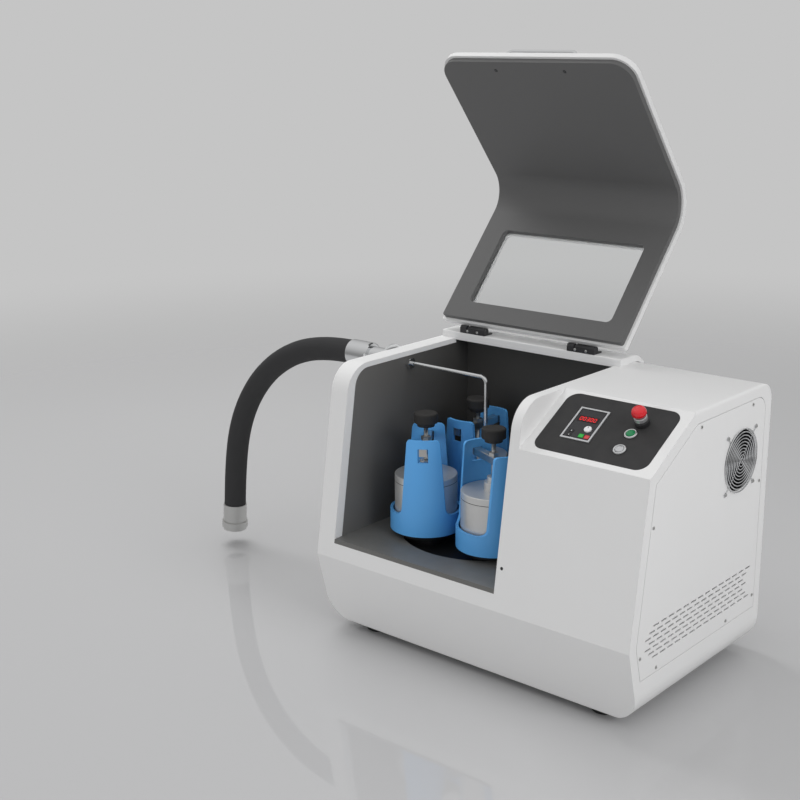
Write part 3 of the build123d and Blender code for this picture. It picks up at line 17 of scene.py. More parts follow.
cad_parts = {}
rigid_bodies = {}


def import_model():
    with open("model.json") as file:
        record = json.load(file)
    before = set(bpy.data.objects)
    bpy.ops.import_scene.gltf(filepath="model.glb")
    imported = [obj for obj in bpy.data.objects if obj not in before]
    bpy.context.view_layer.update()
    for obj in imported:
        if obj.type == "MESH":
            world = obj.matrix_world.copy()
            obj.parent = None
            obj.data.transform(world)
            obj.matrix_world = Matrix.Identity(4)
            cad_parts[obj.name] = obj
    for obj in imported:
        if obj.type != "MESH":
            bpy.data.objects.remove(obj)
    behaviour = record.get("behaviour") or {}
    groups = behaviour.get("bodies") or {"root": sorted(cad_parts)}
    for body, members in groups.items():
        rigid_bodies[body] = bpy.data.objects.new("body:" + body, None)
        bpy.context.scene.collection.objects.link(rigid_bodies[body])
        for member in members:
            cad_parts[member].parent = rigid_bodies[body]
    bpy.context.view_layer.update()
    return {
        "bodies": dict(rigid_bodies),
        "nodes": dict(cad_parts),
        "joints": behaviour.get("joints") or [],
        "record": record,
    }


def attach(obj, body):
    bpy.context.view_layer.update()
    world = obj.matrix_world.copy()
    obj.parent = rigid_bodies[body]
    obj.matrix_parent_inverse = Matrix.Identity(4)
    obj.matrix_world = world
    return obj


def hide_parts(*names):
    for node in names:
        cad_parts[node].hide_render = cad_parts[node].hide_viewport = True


LOG = logging.getLogger("ball_mill")
FRAME_ORIGIN = Vector((0.3618, 0.301832, 0.0))
WELD = 1e-6
EASE_SHARE = 0.45
SHARP = 0.9

Triple = tuple[float, float, float]
Profile = Sequence[tuple[float, float]]
Piece = bpy.types.Object
Socket = bpy.types.NodeSocket


def in_frame(x: float, y: float, z: float) -> Vector:
    """A point of the cabinet's own frame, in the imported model's frame."""
    return Vector((x, y, z)) - FRAME_ORIGIN


def set_at(x: float, y: float, z: float, angle: float = 0.0, axis: str = "X") -> Matrix:
    """A point of the cabinet's own frame as a place, turned about one axis."""
    return Matrix.Translation(in_frame(x, y, z)) @ Matrix.Rotation(angle, 4, axis)


def raised(height: float) -> Matrix:
    """A step along a place's own Z."""
    return Matrix.Translation((0, 0, height))


def shade(*levels: int) -> Triple:
    """A display colour, red, green and blue from 0 to 255, as linear light."""
    shares = (level / 255 for level in levels)
    return tuple(share / 12.92 if share <= 0.04045 else ((share + 0.055) / 1.055) ** 2.4 for share in shares)


# ---- node trees -------------------------------------------------------------
class Tree:
    """A node tree with short ways to add and join nodes."""

    def __init__(self, tree: bpy.types.NodeTree) -> None:
        """Starts on a node tree."""
        self.tree = tree

    def join(self, value: object, socket: Socket) -> None:
        """Links a socket to another, or sets its plain value.

        Args:
            value: the socket that feeds it, or the value.
            socket: the input.
        """
        if isinstance(value, Socket):
            self.tree.links.new(value, socket)
        else:
            socket.default_value = value

    def add(self, kind: str, inputs: Optional[dict] = None, **settings: object) -> bpy.types.Node:
        """Adds a node.

        Args:
            kind: Blender's name of the node type.
            inputs: values or sockets for its inputs, by name or number.
            settings: the node's own properties.

        Returns:
            The node.
        """
        node = self.tree.nodes.new(kind)
        for key, value in settings.items():
            setattr(node, key, value)
        for key, value in (inputs or {}).items():
            self.join(value, node.inputs[key])
        return node

    def math(self, operation: str, *values: object) -> Socket:
        """The result of one arithmetic step."""
        node = self.add("ShaderNodeMath", dict(enumerate(values)), operation=operation)
        return node.outputs[0]

    def spread(self, value: object, low: float, high: float) -> Socket:
        """A mask from 0 to 1 stretched between two values."""
        return self.add("ShaderNodeMapRange", {"Value": value, "To Min": low, "To Max": high}).outputs[0]

    def weigh(self, first: object, share: float, second: object) -> Socket:
        """Two values added, the first by its share and the second by the rest."""
        rest = self.math("MULTIPLY", second, 1.0 - share)
        return self.math("ADD", self.math("MULTIPLY", first, share), rest)

    def noise(self, place: object, scale: object, detail: float, rough: float = 0.5) -> Socket:
        """Cloudy noise from 0 to 1."""
        return self.add("ShaderNodeTexNoise", {"Vector": place, "Scale": scale, "Detail": detail,
                                               "Roughness": rough}).outputs[0]

    def blend(self, factor: object, first: object, second: object) -> Socket:
        """Mixes two colours.

        Args:
            factor: from 0, the first, to 1, the second.
            first: a colour or its socket.
            second: a colour or its socket.

        Returns:
            The mixed colour.
        """
        node = self.add("ShaderNodeMix", data_type="RGBA")
        for socket, value in zip((node.inputs[0], node.inputs[6], node.inputs[7]), (factor, first, second)):
            if isinstance(value, tuple):
                value = (*value, 1.0)
            self.join(value, socket)
        return node.outputs[2]


class Effect(Enum):
    """The effects that several finishes share."""
    GRAIN = "Fine grain"
    TURNING = "Turning lines"
    DUST = "Settled dust"
    # Its mask paints a highlight along eased edges.
    EDGES = "Eased edges"


class Effects:
    """Node groups of the shared effects, each built once, with smears and dust patches per metre."""
    smears = 18.0
    dust_patches = 45.0

    def __init__(self) -> None:
        """Builds every effect."""
        self.groups: dict[Effect, bpy.types.NodeTree] = {}
        self.grain()
        self.turning()
        self.dust()
        self.edges()

    def start(self, effect: Effect, inputs: dict[str, str], outputs: dict[str, str]) -> tuple:
        """Starts a group with its sockets.

        Args:
            effect: which effect it is.
            inputs: socket types by name.
            outputs: socket types by name.

        Returns:
            Its tree helper, its input node and its output node.
        """
        group = self.groups[effect] = bpy.data.node_groups.new(effect.value, "ShaderNodeTree")
        for names, side in ((inputs, "INPUT"), (outputs, "OUTPUT")):
            for name, kind in names.items():
                group.interface.new_socket(name=name, in_out=side, socket_type="NodeSocket" + kind)
        tree = Tree(group)
        return tree, tree.add("NodeGroupInput"), tree.add("NodeGroupOutput")

    def grain(self) -> None:
        """Broad tone changes with a fine relief."""
        tree, source, result = self.start(
            Effect.GRAIN, {"Vector": "Vector", "Fine": "Float", "Broad": "Float"},
            {"Tone": "Float", "Height": "Float"})
        broad = tree.noise(source.outputs[0], source.outputs[2], 3.0)
        fine = tree.noise(source.outputs[0], source.outputs[1], 2.0, 0.6)
        tree.join(tree.weigh(broad, 0.7, fine), result.inputs[0])
        tree.join(fine, result.inputs[1])

    def turning(self) -> None:
        """Rings left by a lathe about the Z axis, on faces and on walls alike."""
        tree, source, result = self.start(
            Effect.TURNING, {"Vector": "Vector", "Lines": "Float"}, {"Tone": "Float", "Height": "Float"})
        parts = tree.add("ShaderNodeSeparateXYZ", {0: source.outputs[0]})
        radius = tree.math("SQRT", tree.math("ADD", tree.math("MULTIPLY", parts.outputs[0], parts.outputs[0]),
                                             tree.math("MULTIPLY", parts.outputs[1], parts.outputs[1])))
        along = tree.add("ShaderNodeCombineXYZ", {0: radius, 1: parts.outputs[2]})
        fine = tree.noise(along.outputs[0], source.outputs[1], 2.0)
        smear = tree.noise(source.outputs[0], self.smears, 2.0)
        tree.join(tree.weigh(fine, 0.6, smear), result.inputs[0])
        tree.join(fine, result.inputs[1])

    def dust(self) -> None:
        """A mask of dust lying on what faces upwards."""
        tree, source, result = self.start(
            Effect.DUST, {"Vector": "Vector", "Amount": "Float"}, {"Mask": "Float"})
        normal = tree.add("ShaderNodeNewGeometry").outputs["Normal"]
        up = tree.add("ShaderNodeSeparateXYZ", {0: normal}).outputs[2]
        patches = tree.noise(source.outputs[0], self.dust_patches, 4.0)
        lying = tree.math("MULTIPLY", tree.math("MAXIMUM", up, 0.0), patches)
        tree.join(tree.math("MULTIPLY", lying, source.outputs[1]), result.inputs[0])

    def edges(self) -> None:
        """A normal that rounds sharp edges, and a mask of those edges where a highlight is painted."""
        tree, source, result = self.start(
            Effect.EDGES, {"Radius": "Float", "Amount": "Float"}, {"Normal": "Vector", "Mask": "Float"})
        rounded = tree.add("ShaderNodeBevel", {"Radius": source.outputs[0]}, samples=4).outputs[0]
        plain = tree.add("ShaderNodeNewGeometry").outputs["Normal"]
        turn = tree.add("ShaderNodeVectorMath", {0: rounded, 1: plain}, operation="DOT_PRODUCT")
        bent = tree.math("SUBTRACT", 1.0, turn.outputs["Value"])
        away = tree.math("MULTIPLY", bent, source.outputs[1])
        tree.join(rounded, result.inputs[0])
        tree.join(tree.math("MINIMUM", tree.math("MAXIMUM", away, 0.0), 1.0), result.inputs[1])


# ---- finishes ---------------------------------------------------------------
DUST_GREY = (0.42, 0.41, 0.39)
# Painted highlight along eased edges: how much lighter the colour is made there.
EDGE_HIGHLIGHT_GAIN = 1.5
EDGE_HIGHLIGHT_LIFT = 0.05


class Slot(Enum):
    """The record's material slots, which a finish can name."""
    STEEL = "steel"
    CHROME = "chrome"
    BLACK = "black_plastic"
    RED = "red_plastic"
    GREEN = "green_plastic"
    WHITE = "white_plastic"
    HOSE = "hose_black"
    RUBBER = "rubber"


@dataclass(frozen=True)
class Finish:
    """A surface finish, mixed as one material.

    Fields: base colour, how far its tone wanders, roughness and its swing, metallic,
    clear coat, grains per metre fine and broad, relief height, radius of eased edges
    with the strength of their painted highlight, dust, the axis that turning lines go
    round and how many there are per metre, and the record's slot for new pieces that have it.
    """
    name: str
    colour: Triple
    tone: float = 0.03
    roughness: float = 0.5
    swing: float = 0.05
    metallic: float = 0.0
    coat: float = 0.0
    fine: float = 900.0
    broad: float = 7.0
    relief: float = 0.00002
    edge: float = 0.0
    edge_highlight: float = 0.0
    dust: float = 0.0
    axis: Optional[tuple[float, float]] = None
    lines: float = 2200.0
    slot: Optional[Slot] = None

    def pattern(self, tree: Tree, effects: Effects, place: Socket) -> bpy.types.Node:
        """Adds the grain or the turning lines.

        Args:
            tree: the material's tree.
            effects: the shared node groups.
            place: where a point is on the piece.

        Returns:
            The node, with a tone and a height.
        """
        if self.axis is None:
            return tree.add("ShaderNodeGroup", {"Vector": place, "Fine": self.fine, "Broad": self.broad},
                            node_tree=effects.groups[Effect.GRAIN])
        centre = (-self.axis[0], -self.axis[1], 0.0)
        centred = tree.add("ShaderNodeMapping", {"Vector": place, "Location": centre}).outputs[0]
        return tree.add("ShaderNodeGroup", {"Vector": centred, "Lines": self.lines},
                        node_tree=effects.groups[Effect.TURNING])

    def refine(self, tree: Tree, shader: bpy.types.Node, place: Socket) -> None:
        """Adds what a special finish has beyond a plain one."""

    def mix(self, effects: Effects) -> bpy.types.Material:
        """Mixes the material.

        Args:
            effects: the shared node groups.

        Returns:
            The material, with its pattern on Object coordinates.
        """
        material = bpy.data.materials.new(self.name)
        material.use_nodes = True
        tree = Tree(material.node_tree)
        shader = material.node_tree.nodes["Principled BSDF"]
        place = tree.add("ShaderNodeTexCoord").outputs["Object"]
        pattern = self.pattern(tree, effects, place)
        dark = tuple(max(0.0, c * (1 - self.tone)) for c in self.colour)
        light = tuple(min(1.0, c * (1 + self.tone)) for c in self.colour)
        colour = tree.blend(pattern.outputs["Tone"], dark, light)
        normal = None
        if self.edge:
            rounded = tree.add("ShaderNodeGroup", {"Radius": self.edge, "Amount": self.edge_highlight},
                               node_tree=effects.groups[Effect.EDGES])
            # Painted highlight: the colour is made lighter along eased edges.
            pale = tuple(min(1.0, c * EDGE_HIGHLIGHT_GAIN + EDGE_HIGHLIGHT_LIFT) for c in self.colour)
            colour = tree.blend(rounded.outputs["Mask"], colour, pale)
            normal = rounded.outputs["Normal"]
        if self.dust:
            dusty = tree.add("ShaderNodeGroup", {"Vector": place, "Amount": self.dust},
                             node_tree=effects.groups[Effect.DUST])
            colour = tree.blend(dusty.outputs["Mask"], colour, DUST_GREY)
        tree.join(colour, shader.inputs["Base Color"])
        tree.join(tree.spread(pattern.outputs["Tone"], max(0.02, self.roughness - self.swing),
                              min(1.0, self.roughness + self.swing)), shader.inputs["Roughness"])
        bump = tree.add("ShaderNodeBump", {"Height": pattern.outputs["Height"], "Distance": self.relief,
                                           "Strength": 1.0})
        if normal is not None:
            tree.join(normal, bump.inputs["Normal"])
        tree.join(bump.outputs[0], shader.inputs["Normal"])
        shader.inputs["Metallic"].default_value = self.metallic
        shader.inputs["Coat Weight"].default_value = self.coat
        self.refine(tree, shader, place)
        return material


@dataclass(frozen=True)
class ClearFinish(Finish):
    """A clear pane or lens with faint marks in its polish."""
    ior: float = 1.02

    def refine(self, tree: Tree, shader: bpy.types.Node, place: Socket) -> None:
        """Lets light through."""
        shader.inputs["Transmission Weight"].default_value = 1.0
        shader.inputs["IOR"].default_value = self.ior


@dataclass(frozen=True)
class PaintedShadeFinish(Finish):
    """A lining with painted shade, its colour darker towards the back of the chamber."""
    painted_shade: float = 0.4
    front: float = -0.22
    back: float = 0.06

    def refine(self, tree: Tree, shader: bpy.types.Node, place: Socket) -> None:
        """Paints shade into the colour, darker with depth.

        Args:
            tree: the material's tree.
            shader: its main shader.
            place: where a point is on the piece.
        """
        base = shader.inputs["Base Color"]
        depth = tree.add("ShaderNodeSeparateXYZ", {0: place}).outputs[1]
        mask = tree.add("ShaderNodeMapRange", {"Value": depth, "From Min": self.front, "From Max": self.back})
        # Painted shade: the colour darkens towards the back of the chamber, where shade falls.
        dark = tuple(c * self.painted_shade for c in self.colour)
        tree.join(tree.blend(mask.outputs[0], base.links[0].from_socket, dark), base)


@dataclass(frozen=True)
class GlowFinish(Finish):
    """A lit mark that gives off its own light."""
    glow: float = 1.1

    def refine(self, tree: Tree, shader: bpy.types.Node, place: Socket) -> None:
        """Adds the light that it gives off."""
        shader.inputs["Emission Color"].default_value = (*self.colour, 1.0)
        shader.inputs["Emission Strength"].default_value = self.glow


@dataclass(frozen=True)
class FadingFinish(Finish):
    """A floor that fades into the room's backdrop with distance."""
    near: float = 1.2
    far: float = 4.5

    def refine(self, tree: Tree, shader: bpy.types.Node, place: Socket) -> None:
        """Makes it clear beyond its far distance.

        Args:
            tree: the material's tree.
            shader: its main shader.
            place: where a point is on the piece.
        """
        away = tree.add("ShaderNodeVectorMath", {0: place}, operation="LENGTH").outputs["Value"]
        fade = tree.add("ShaderNodeMapRange", {"Value": away, "From Min": self.near, "From Max": self.far,
                                               "To Min": 1.0, "To Max": 0.0}, interpolation_type="SMOOTHSTEP")
        tree.join(fade.outputs[0], shader.inputs["Alpha"])


PAINT = Finish("Pale textured paint", shade(229, 229, 229), tone=0.02, roughness=0.55, relief=0.000012,
               fine=1400.0, edge=0.0012, edge_highlight=0.12, coat=0.03)
CONSOLE_PLATE = Finish("Dark console film", shade(44, 44, 45), tone=0.05, roughness=0.7, relief=0.00002,
                       fine=2200.0, dust=0.05, slot=Slot.BLACK)
# The liner and the floor plate have shade painted in, darker towards the back of the chamber.
LINER = PaintedShadeFinish("Chamber liner", shade(106, 105, 103), tone=0.08, roughness=0.5, fine=1200.0, dust=0.05)
LID_LINER = Finish("Moulded lid liner", shade(97, 97, 97), tone=0.05, roughness=0.55, relief=0.00003,
                   fine=1500.0, edge=0.0014, edge_highlight=0.4)
FLOOR_PLATE = PaintedShadeFinish("Chamber floor plate", shade(104, 104, 102), tone=0.1, roughness=0.45, fine=800.0,
                         dust=0.12)
BLUE = Finish("Blue satin enamel", shade(92, 170, 235), tone=0.05, roughness=0.45, relief=0.00001,
              fine=1600.0, edge=0.0008, edge_highlight=0.5, coat=0.25)
HINGE_BLACK = Finish("Black coated steel", shade(44, 44, 46), tone=0.1, roughness=0.42, fine=1500.0,
                     edge=0.0006, edge_highlight=0.35, slot=Slot.BLACK)
KNOB_BLACK = Finish("Matt moulded knob", shade(40, 39, 38), tone=0.08, roughness=0.6, relief=0.00003,
                    fine=2400.0, dust=0.08)
BLACK = Finish("Black plastic", shade(38, 38, 40), tone=0.08, roughness=0.42, fine=2000.0, slot=Slot.BLACK)
JAR_STEEL = Finish("Ground jar steel", shade(220, 220, 219), tone=0.06, roughness=0.37, swing=0.08,
                   metallic=0.65, relief=0.000003, edge=0.0005, edge_highlight=0.2)
BLACK_STEEL = Finish("Blackened steel", shade(40, 41, 43), tone=0.15, roughness=0.4, metallic=0.4,
                     relief=0.00001, fine=500.0)
STEEL = Finish("Brushed steel", shade(205, 205, 203), tone=0.08, roughness=0.3, swing=0.1, metallic=1.0,
               relief=0.000004, fine=700.0, slot=Slot.STEEL)
DARK_STEEL = Finish("Dark machine steel", shade(96, 97, 99), tone=0.15, roughness=0.42, metallic=0.9,
                    relief=0.00001, fine=500.0)
CHROME = Finish("Bright chrome", shade(228, 229, 230), tone=0.03, roughness=0.12, swing=0.05, metallic=1.0,
                relief=0.000002, fine=300.0, slot=Slot.CHROME)
SATIN_SILVER = Finish("Satin silver", shade(214, 215, 217), tone=0.04, roughness=0.3, metallic=0.75,
                      fine=2500.0, slot=Slot.CHROME)
WHITE = Finish("White plastic", shade(226, 227, 229), tone=0.03, roughness=0.4, fine=2500.0, slot=Slot.WHITE)
RED = Finish("Glossy red mushroom", shade(214, 26, 38), tone=0.05, roughness=0.22, coat=0.6, relief=0.000004,
             slot=Slot.RED)
GREEN = Finish("Green lens", shade(10, 126, 74), tone=0.06, roughness=0.3, coat=0.4, fine=1200.0,
               slot=Slot.GREEN)
GREEN_KEY = Finish("Green key", shade(58, 176, 76), tone=0.05, roughness=0.45, fine=2500.0, slot=Slot.GREEN)
RED_KEY = Finish("Red key", shade(202, 74, 78), tone=0.05, roughness=0.45, fine=2500.0, slot=Slot.RED)
KEYPAD_FACE = Finish("Keypad face", shade(50, 50, 52), tone=0.06, roughness=0.5, fine=2600.0, slot=Slot.BLACK)
DISPLAY = Finish("Display filter", shade(40, 6, 9), tone=0.08, roughness=0.3, coat=0.2, slot=Slot.RED)
DIGITS = GlowFinish("Lit digits", shade(226, 24, 30), slot=Slot.RED)
RUBBER = Finish("Moulded rubber", shade(32, 32, 33), tone=0.12, roughness=0.75, relief=0.00005, dust=0.15,
                slot=Slot.RUBBER)
FOAM = Finish("Closed cell foam", shade(52, 52, 53), tone=0.14, roughness=0.85, relief=0.0003, fine=520.0,
              broad=30.0, slot=Slot.HOSE)
MOTOR = Finish("Motor enamel", shade(110, 114, 118), tone=0.08, roughness=0.45, fine=600.0, dust=0.3,
               edge=0.001, edge_highlight=0.3)
GLASS = ClearFinish("Clear window", shade(246, 247, 247), tone=0.01, roughness=0.03, swing=0.02,
                    relief=0.000001, fine=60.0)
STUDIO_FLOOR = FadingFinish("Studio floor", shade(186, 186, 187), tone=0.01, roughness=0.03, swing=0.01,
                            fine=40.0, broad=1.0, relief=0.000001)


# ---- modelling steps --------------------------------------------------------
def deselect() -> None:
    """Deselects every object."""
    bpy.ops.object.select_all(action="DESELECT")


def pick(*pieces: Piece) -> None:
    """Selects some pieces and nothing else.

    Args:
        pieces: the pieces, the first of them to be active.
    """
    deselect()
    for piece in pieces:
        piece.select_set(True)
    bpy.context.view_layer.objects.active = pieces[0]


def fresh(name: str) -> Piece:
    """Names the newest piece and applies its place and size.

    Args:
        name: its name.

    Returns:
        The piece.
    """
    piece = bpy.context.object
    piece.name = name
    bpy.ops.object.transform_apply(location=True, rotation=True, scale=True)
    return piece


def close_mesh(fill: bool = False) -> None:
    """Welds the edited mesh, turns its faces outwards and leaves edit mode.

    Args:
        fill: whether its open ends are filled.
    """
    bpy.ops.mesh.select_all(action="SELECT")
    bpy.ops.mesh.remove_doubles(threshold=WELD)
    if fill:
        bpy.ops.mesh.fill_holes(sides=0)
        bpy.ops.mesh.select_all(action="SELECT")
    bpy.ops.mesh.normals_make_consistent(inside=False)
    bpy.ops.object.mode_set(mode="OBJECT")


def apply_modifier(piece: Piece, kind: str, **settings: object) -> None:
    """Adds a modifier and applies it.

    Args:
        piece: the piece.
        kind: the modifier's type.
        settings: the modifier's own properties.
    """
    pick(piece)
    modifier = piece.modifiers.new(kind.title(), kind)
    for key, value in settings.items():
        setattr(modifier, key, value)
    bpy.ops.object.modifier_apply(modifier=modifier.name)


def settle(piece: Piece, place: Matrix) -> Piece:
    """Sets a piece in its place and leaves its object at the origin.

    Args:
        piece: the piece.
        place: the place.

    Returns:
        The piece.
    """
    pick(piece)
    piece.matrix_world = place @ piece.matrix_world
    bpy.ops.object.transform_apply(location=True, rotation=True, scale=True)
    return piece


def chain(name: str, points: Profile) -> Piece:
    """A chain of edges in the XZ plane, left in edit mode.

    Args:
        name: the piece's name.
        points: X and Z of each corner.

    Returns:
        The piece.
    """
    deselect()
    bpy.ops.mesh.primitive_plane_add(size=0.001)
    piece = bpy.context.object
    piece.name = name
    bpy.ops.object.mode_set(mode="EDIT")
    bpy.ops.mesh.merge(type="CENTER")
    bpy.ops.transform.translate(value=(points[0][0], 0, points[0][1]))
    for (r0, z0), (r1, z1) in zip(points, points[1:]):
        bpy.ops.mesh.extrude_region_move(TRANSFORM_OT_translate={"value": (r1 - r0, 0, z1 - z0)})
    return piece


def lathe(name: str, profile: Profile, sides: int = 48) -> Piece:
    """Turns a profile round the Z axis.

    Args:
        name: the piece's name.
        profile: radius and height of each point, with both ends on the axis
            or, for a ring, the first point again at the end.
        sides: how many steps go round.

    Returns:
        The closed piece.
    """
    piece = chain(name, profile)
    bpy.ops.mesh.select_all(action="SELECT")
    bpy.ops.mesh.spin(steps=sides, angle=2 * math.pi, center=(0, 0, 0), axis=(0, 0, 1), dupli=False)
    close_mesh()
    return piece


def slab(name: str, size: Triple, centre: Triple, edge: float, corner: float = 0.0) -> Piece:
    """A plate with rounded corners and eased edges.

    Args:
        name: the piece's name.
        size: width, length and height.
        centre: its middle.
        edge: radius of its edges.
        corner: radius of its upright corners, or 0 to leave them as the other edges.

    Returns:
        The plate.
    """
    deselect()
    bpy.ops.mesh.primitive_cube_add(size=1.0, location=centre)
    bpy.context.object.scale = size
    piece = fresh(name)
    if corner:
        bpy.ops.object.mode_set(mode="EDIT")
        bpy.ops.mesh.select_all(action="DESELECT")
        bpy.ops.object.mode_set(mode="OBJECT")
        for item in piece.data.edges:
            ends = [piece.data.vertices[i].co for i in item.vertices]
            item.select = abs(ends[0].z - ends[1].z) > size[2] / 2
        bpy.ops.object.mode_set(mode="EDIT")
        bpy.ops.mesh.select_mode(type="EDGE")
        bpy.ops.mesh.bevel(offset=corner, segments=5, affect="EDGES")
        bpy.ops.mesh.select_mode(type="VERT")
        bpy.ops.object.mode_set(mode="OBJECT")
    apply_modifier(piece, "BEVEL", width=edge, segments=2, limit_method="ANGLE", angle_limit=SHARP)
    return piece


def wire_ring(name: str, radius: float, wire: float, height: float, sides: int) -> Piece:
    """A round wire bent into a ring about the Z axis.

    Args:
        name: the piece's name.
        radius: the ring's radius, to the middle of the wire.
        wire: the wire's radius.
        height: where the ring lies on the axis.
        sides: how many steps go round.

    Returns:
        The ring.
    """
    deselect()
    bpy.ops.mesh.primitive_torus_add(major_radius=radius, minor_radius=wire, major_segments=sides,
                                     minor_segments=10, location=(0, 0, height))
    return fresh(name)


def wire_rod(name: str, radius: float, start: Vector, end: Vector) -> Piece:
    """A straight wire.

    Args:
        name: the piece's name.
        radius: the wire's radius.
        start: the middle of one end.
        end: the middle of the other end.

    Returns:
        The wire.
    """
    deselect()
    bpy.ops.mesh.primitive_cylinder_add(radius=radius, depth=(end - start).length, vertices=12,
                                        location=(start + end) / 2,
                                        rotation=(end - start).to_track_quat("Z", "Y").to_euler())
    return fresh(name)


def joined(name: str, pieces: Sequence[Piece]) -> Piece:
    """Makes several pieces one.

    Args:
        name: the name of the joined piece.
        pieces: the pieces.

    Returns:
        The joined piece.
    """
    pick(*pieces)
    if len(pieces) > 1:
        bpy.ops.object.join()
    pieces[0].name = name
    return pieces[0]


def copies(piece: Piece, places: Sequence[Matrix]) -> Piece:
    """Sets one piece down at several places, each copy with its own mesh.

    Args:
        piece: the piece, which is used up.
        places: where the copies go.

    Returns:
        The copies, joined under the piece's name.
    """
    made = []
    for place in places:
        pick(piece)
        bpy.ops.object.duplicate()
        made.append(settle(bpy.context.object, place))
    name = piece.name
    bpy.data.objects.remove(piece)
    return joined(name, made)


def eased(points: Profile, radius: float, steps: int = 5) -> list[tuple[float, float]]:
    """A profile with its inner corners rounded.

    Args:
        points: the profile.
        radius: how far from each corner its curve starts.
        steps: points on each curve.

    Returns:
        The rounded profile.
    """
    result = [points[0]]
    for before, corner, after in zip(points, points[1:], points[2:]):
        here = Vector(corner)
        back, ahead = Vector(before) - here, Vector(after) - here
        reach = min(radius, back.length * EASE_SHARE, ahead.length * EASE_SHARE)
        start, end = here + back.normalized() * reach, here + ahead.normalized() * reach
        for step in range(steps + 1):
            t = step / steps
            spot = start * (1 - t) ** 2 + here * (2 * t * (1 - t)) + end * t ** 2
            result.append((spot.x, spot.y))
    return result + [points[-1]]


class Palette:
    """Every finish of the mill, mixed when it is first asked for."""

    def __init__(self) -> None:
        """Starts with no finish mixed."""
        self.effects = Effects()
        self.mixed: dict[str, bpy.types.Material] = {}

    def of(self, finish: Finish) -> bpy.types.Material:
        """Gives a finish as a material.

        Args:
            finish: the finish.

        Returns:
            Its material, the same each time.
        """
        if finish.name not in self.mixed:
            self.mixed[finish.name] = finish.mix(self.effects)
        return self.mixed[finish.name]


# ---- places -----------------------------------------------------------------
@dataclass
class Places:
    """Planes of the machine that new pieces are set on."""
    console_y: float = 0.04579
    console_z: float = 0.4568
    console_tilt: float = math.radians(29.6)
    lean: float = math.radians(8.8)
    knee_z: float = 0.161
    lid_gap: float = 0.018
    pivot_y: float = 0.393
    pivot_z: float = 0.5615
    lid_open: float = math.radians(131.8)
    side_x: float = 0.72
    back_y: float = 0.472

    def on_console(self, x: float, up: float) -> Matrix:
        """The console's slope at a distance up it, Z square to it."""
        foot = set_at(x, self.console_y, self.console_z, self.console_tilt)
        return foot @ Matrix.Translation((0, up, 0))

    def opened(self) -> Matrix:
        """Swings the lid open.

        Returns:
            The swing from closed to open.
        """
        hinge = in_frame(0, self.pivot_y, self.pivot_z)
        swing = Matrix.Rotation(-self.lid_open, 4, "X")
        return Matrix.Translation(hinge) @ swing @ Matrix.Translation(-hinge)

    def on_lid_end(self, x: float, up: float) -> Matrix:
        """The inside of the open lid, near its free end.

        Args:
            x: how far from the cabinet's left side.
            up: how far up from the lid's free end.

        Returns:
            The place, Z pointing out through the lid.
        """
        end = self.on_front(x, self.lid_gap * math.sin(self.lean),
                            self.knee_z + self.lid_gap * math.cos(self.lean))
        return self.opened() @ end @ Matrix.Translation((0, up, 0))

    def on_front(self, x: float, y: float, z: float) -> Matrix:
        """The leaning front, Z pointing forwards."""
        return set_at(x, y, z, math.pi / 2 - self.lean)

    def on_side(self, y: float, z: float) -> Matrix:
        """The right side, Z pointing to the right."""
        return set_at(self.side_x, y, z, math.pi / 2, "Y")

    def on_back(self, x: float, z: float) -> Matrix:
        """The back, Z pointing backwards."""
        return set_at(x, self.back_y, z, -math.pi / 2)


PLACES = Places()


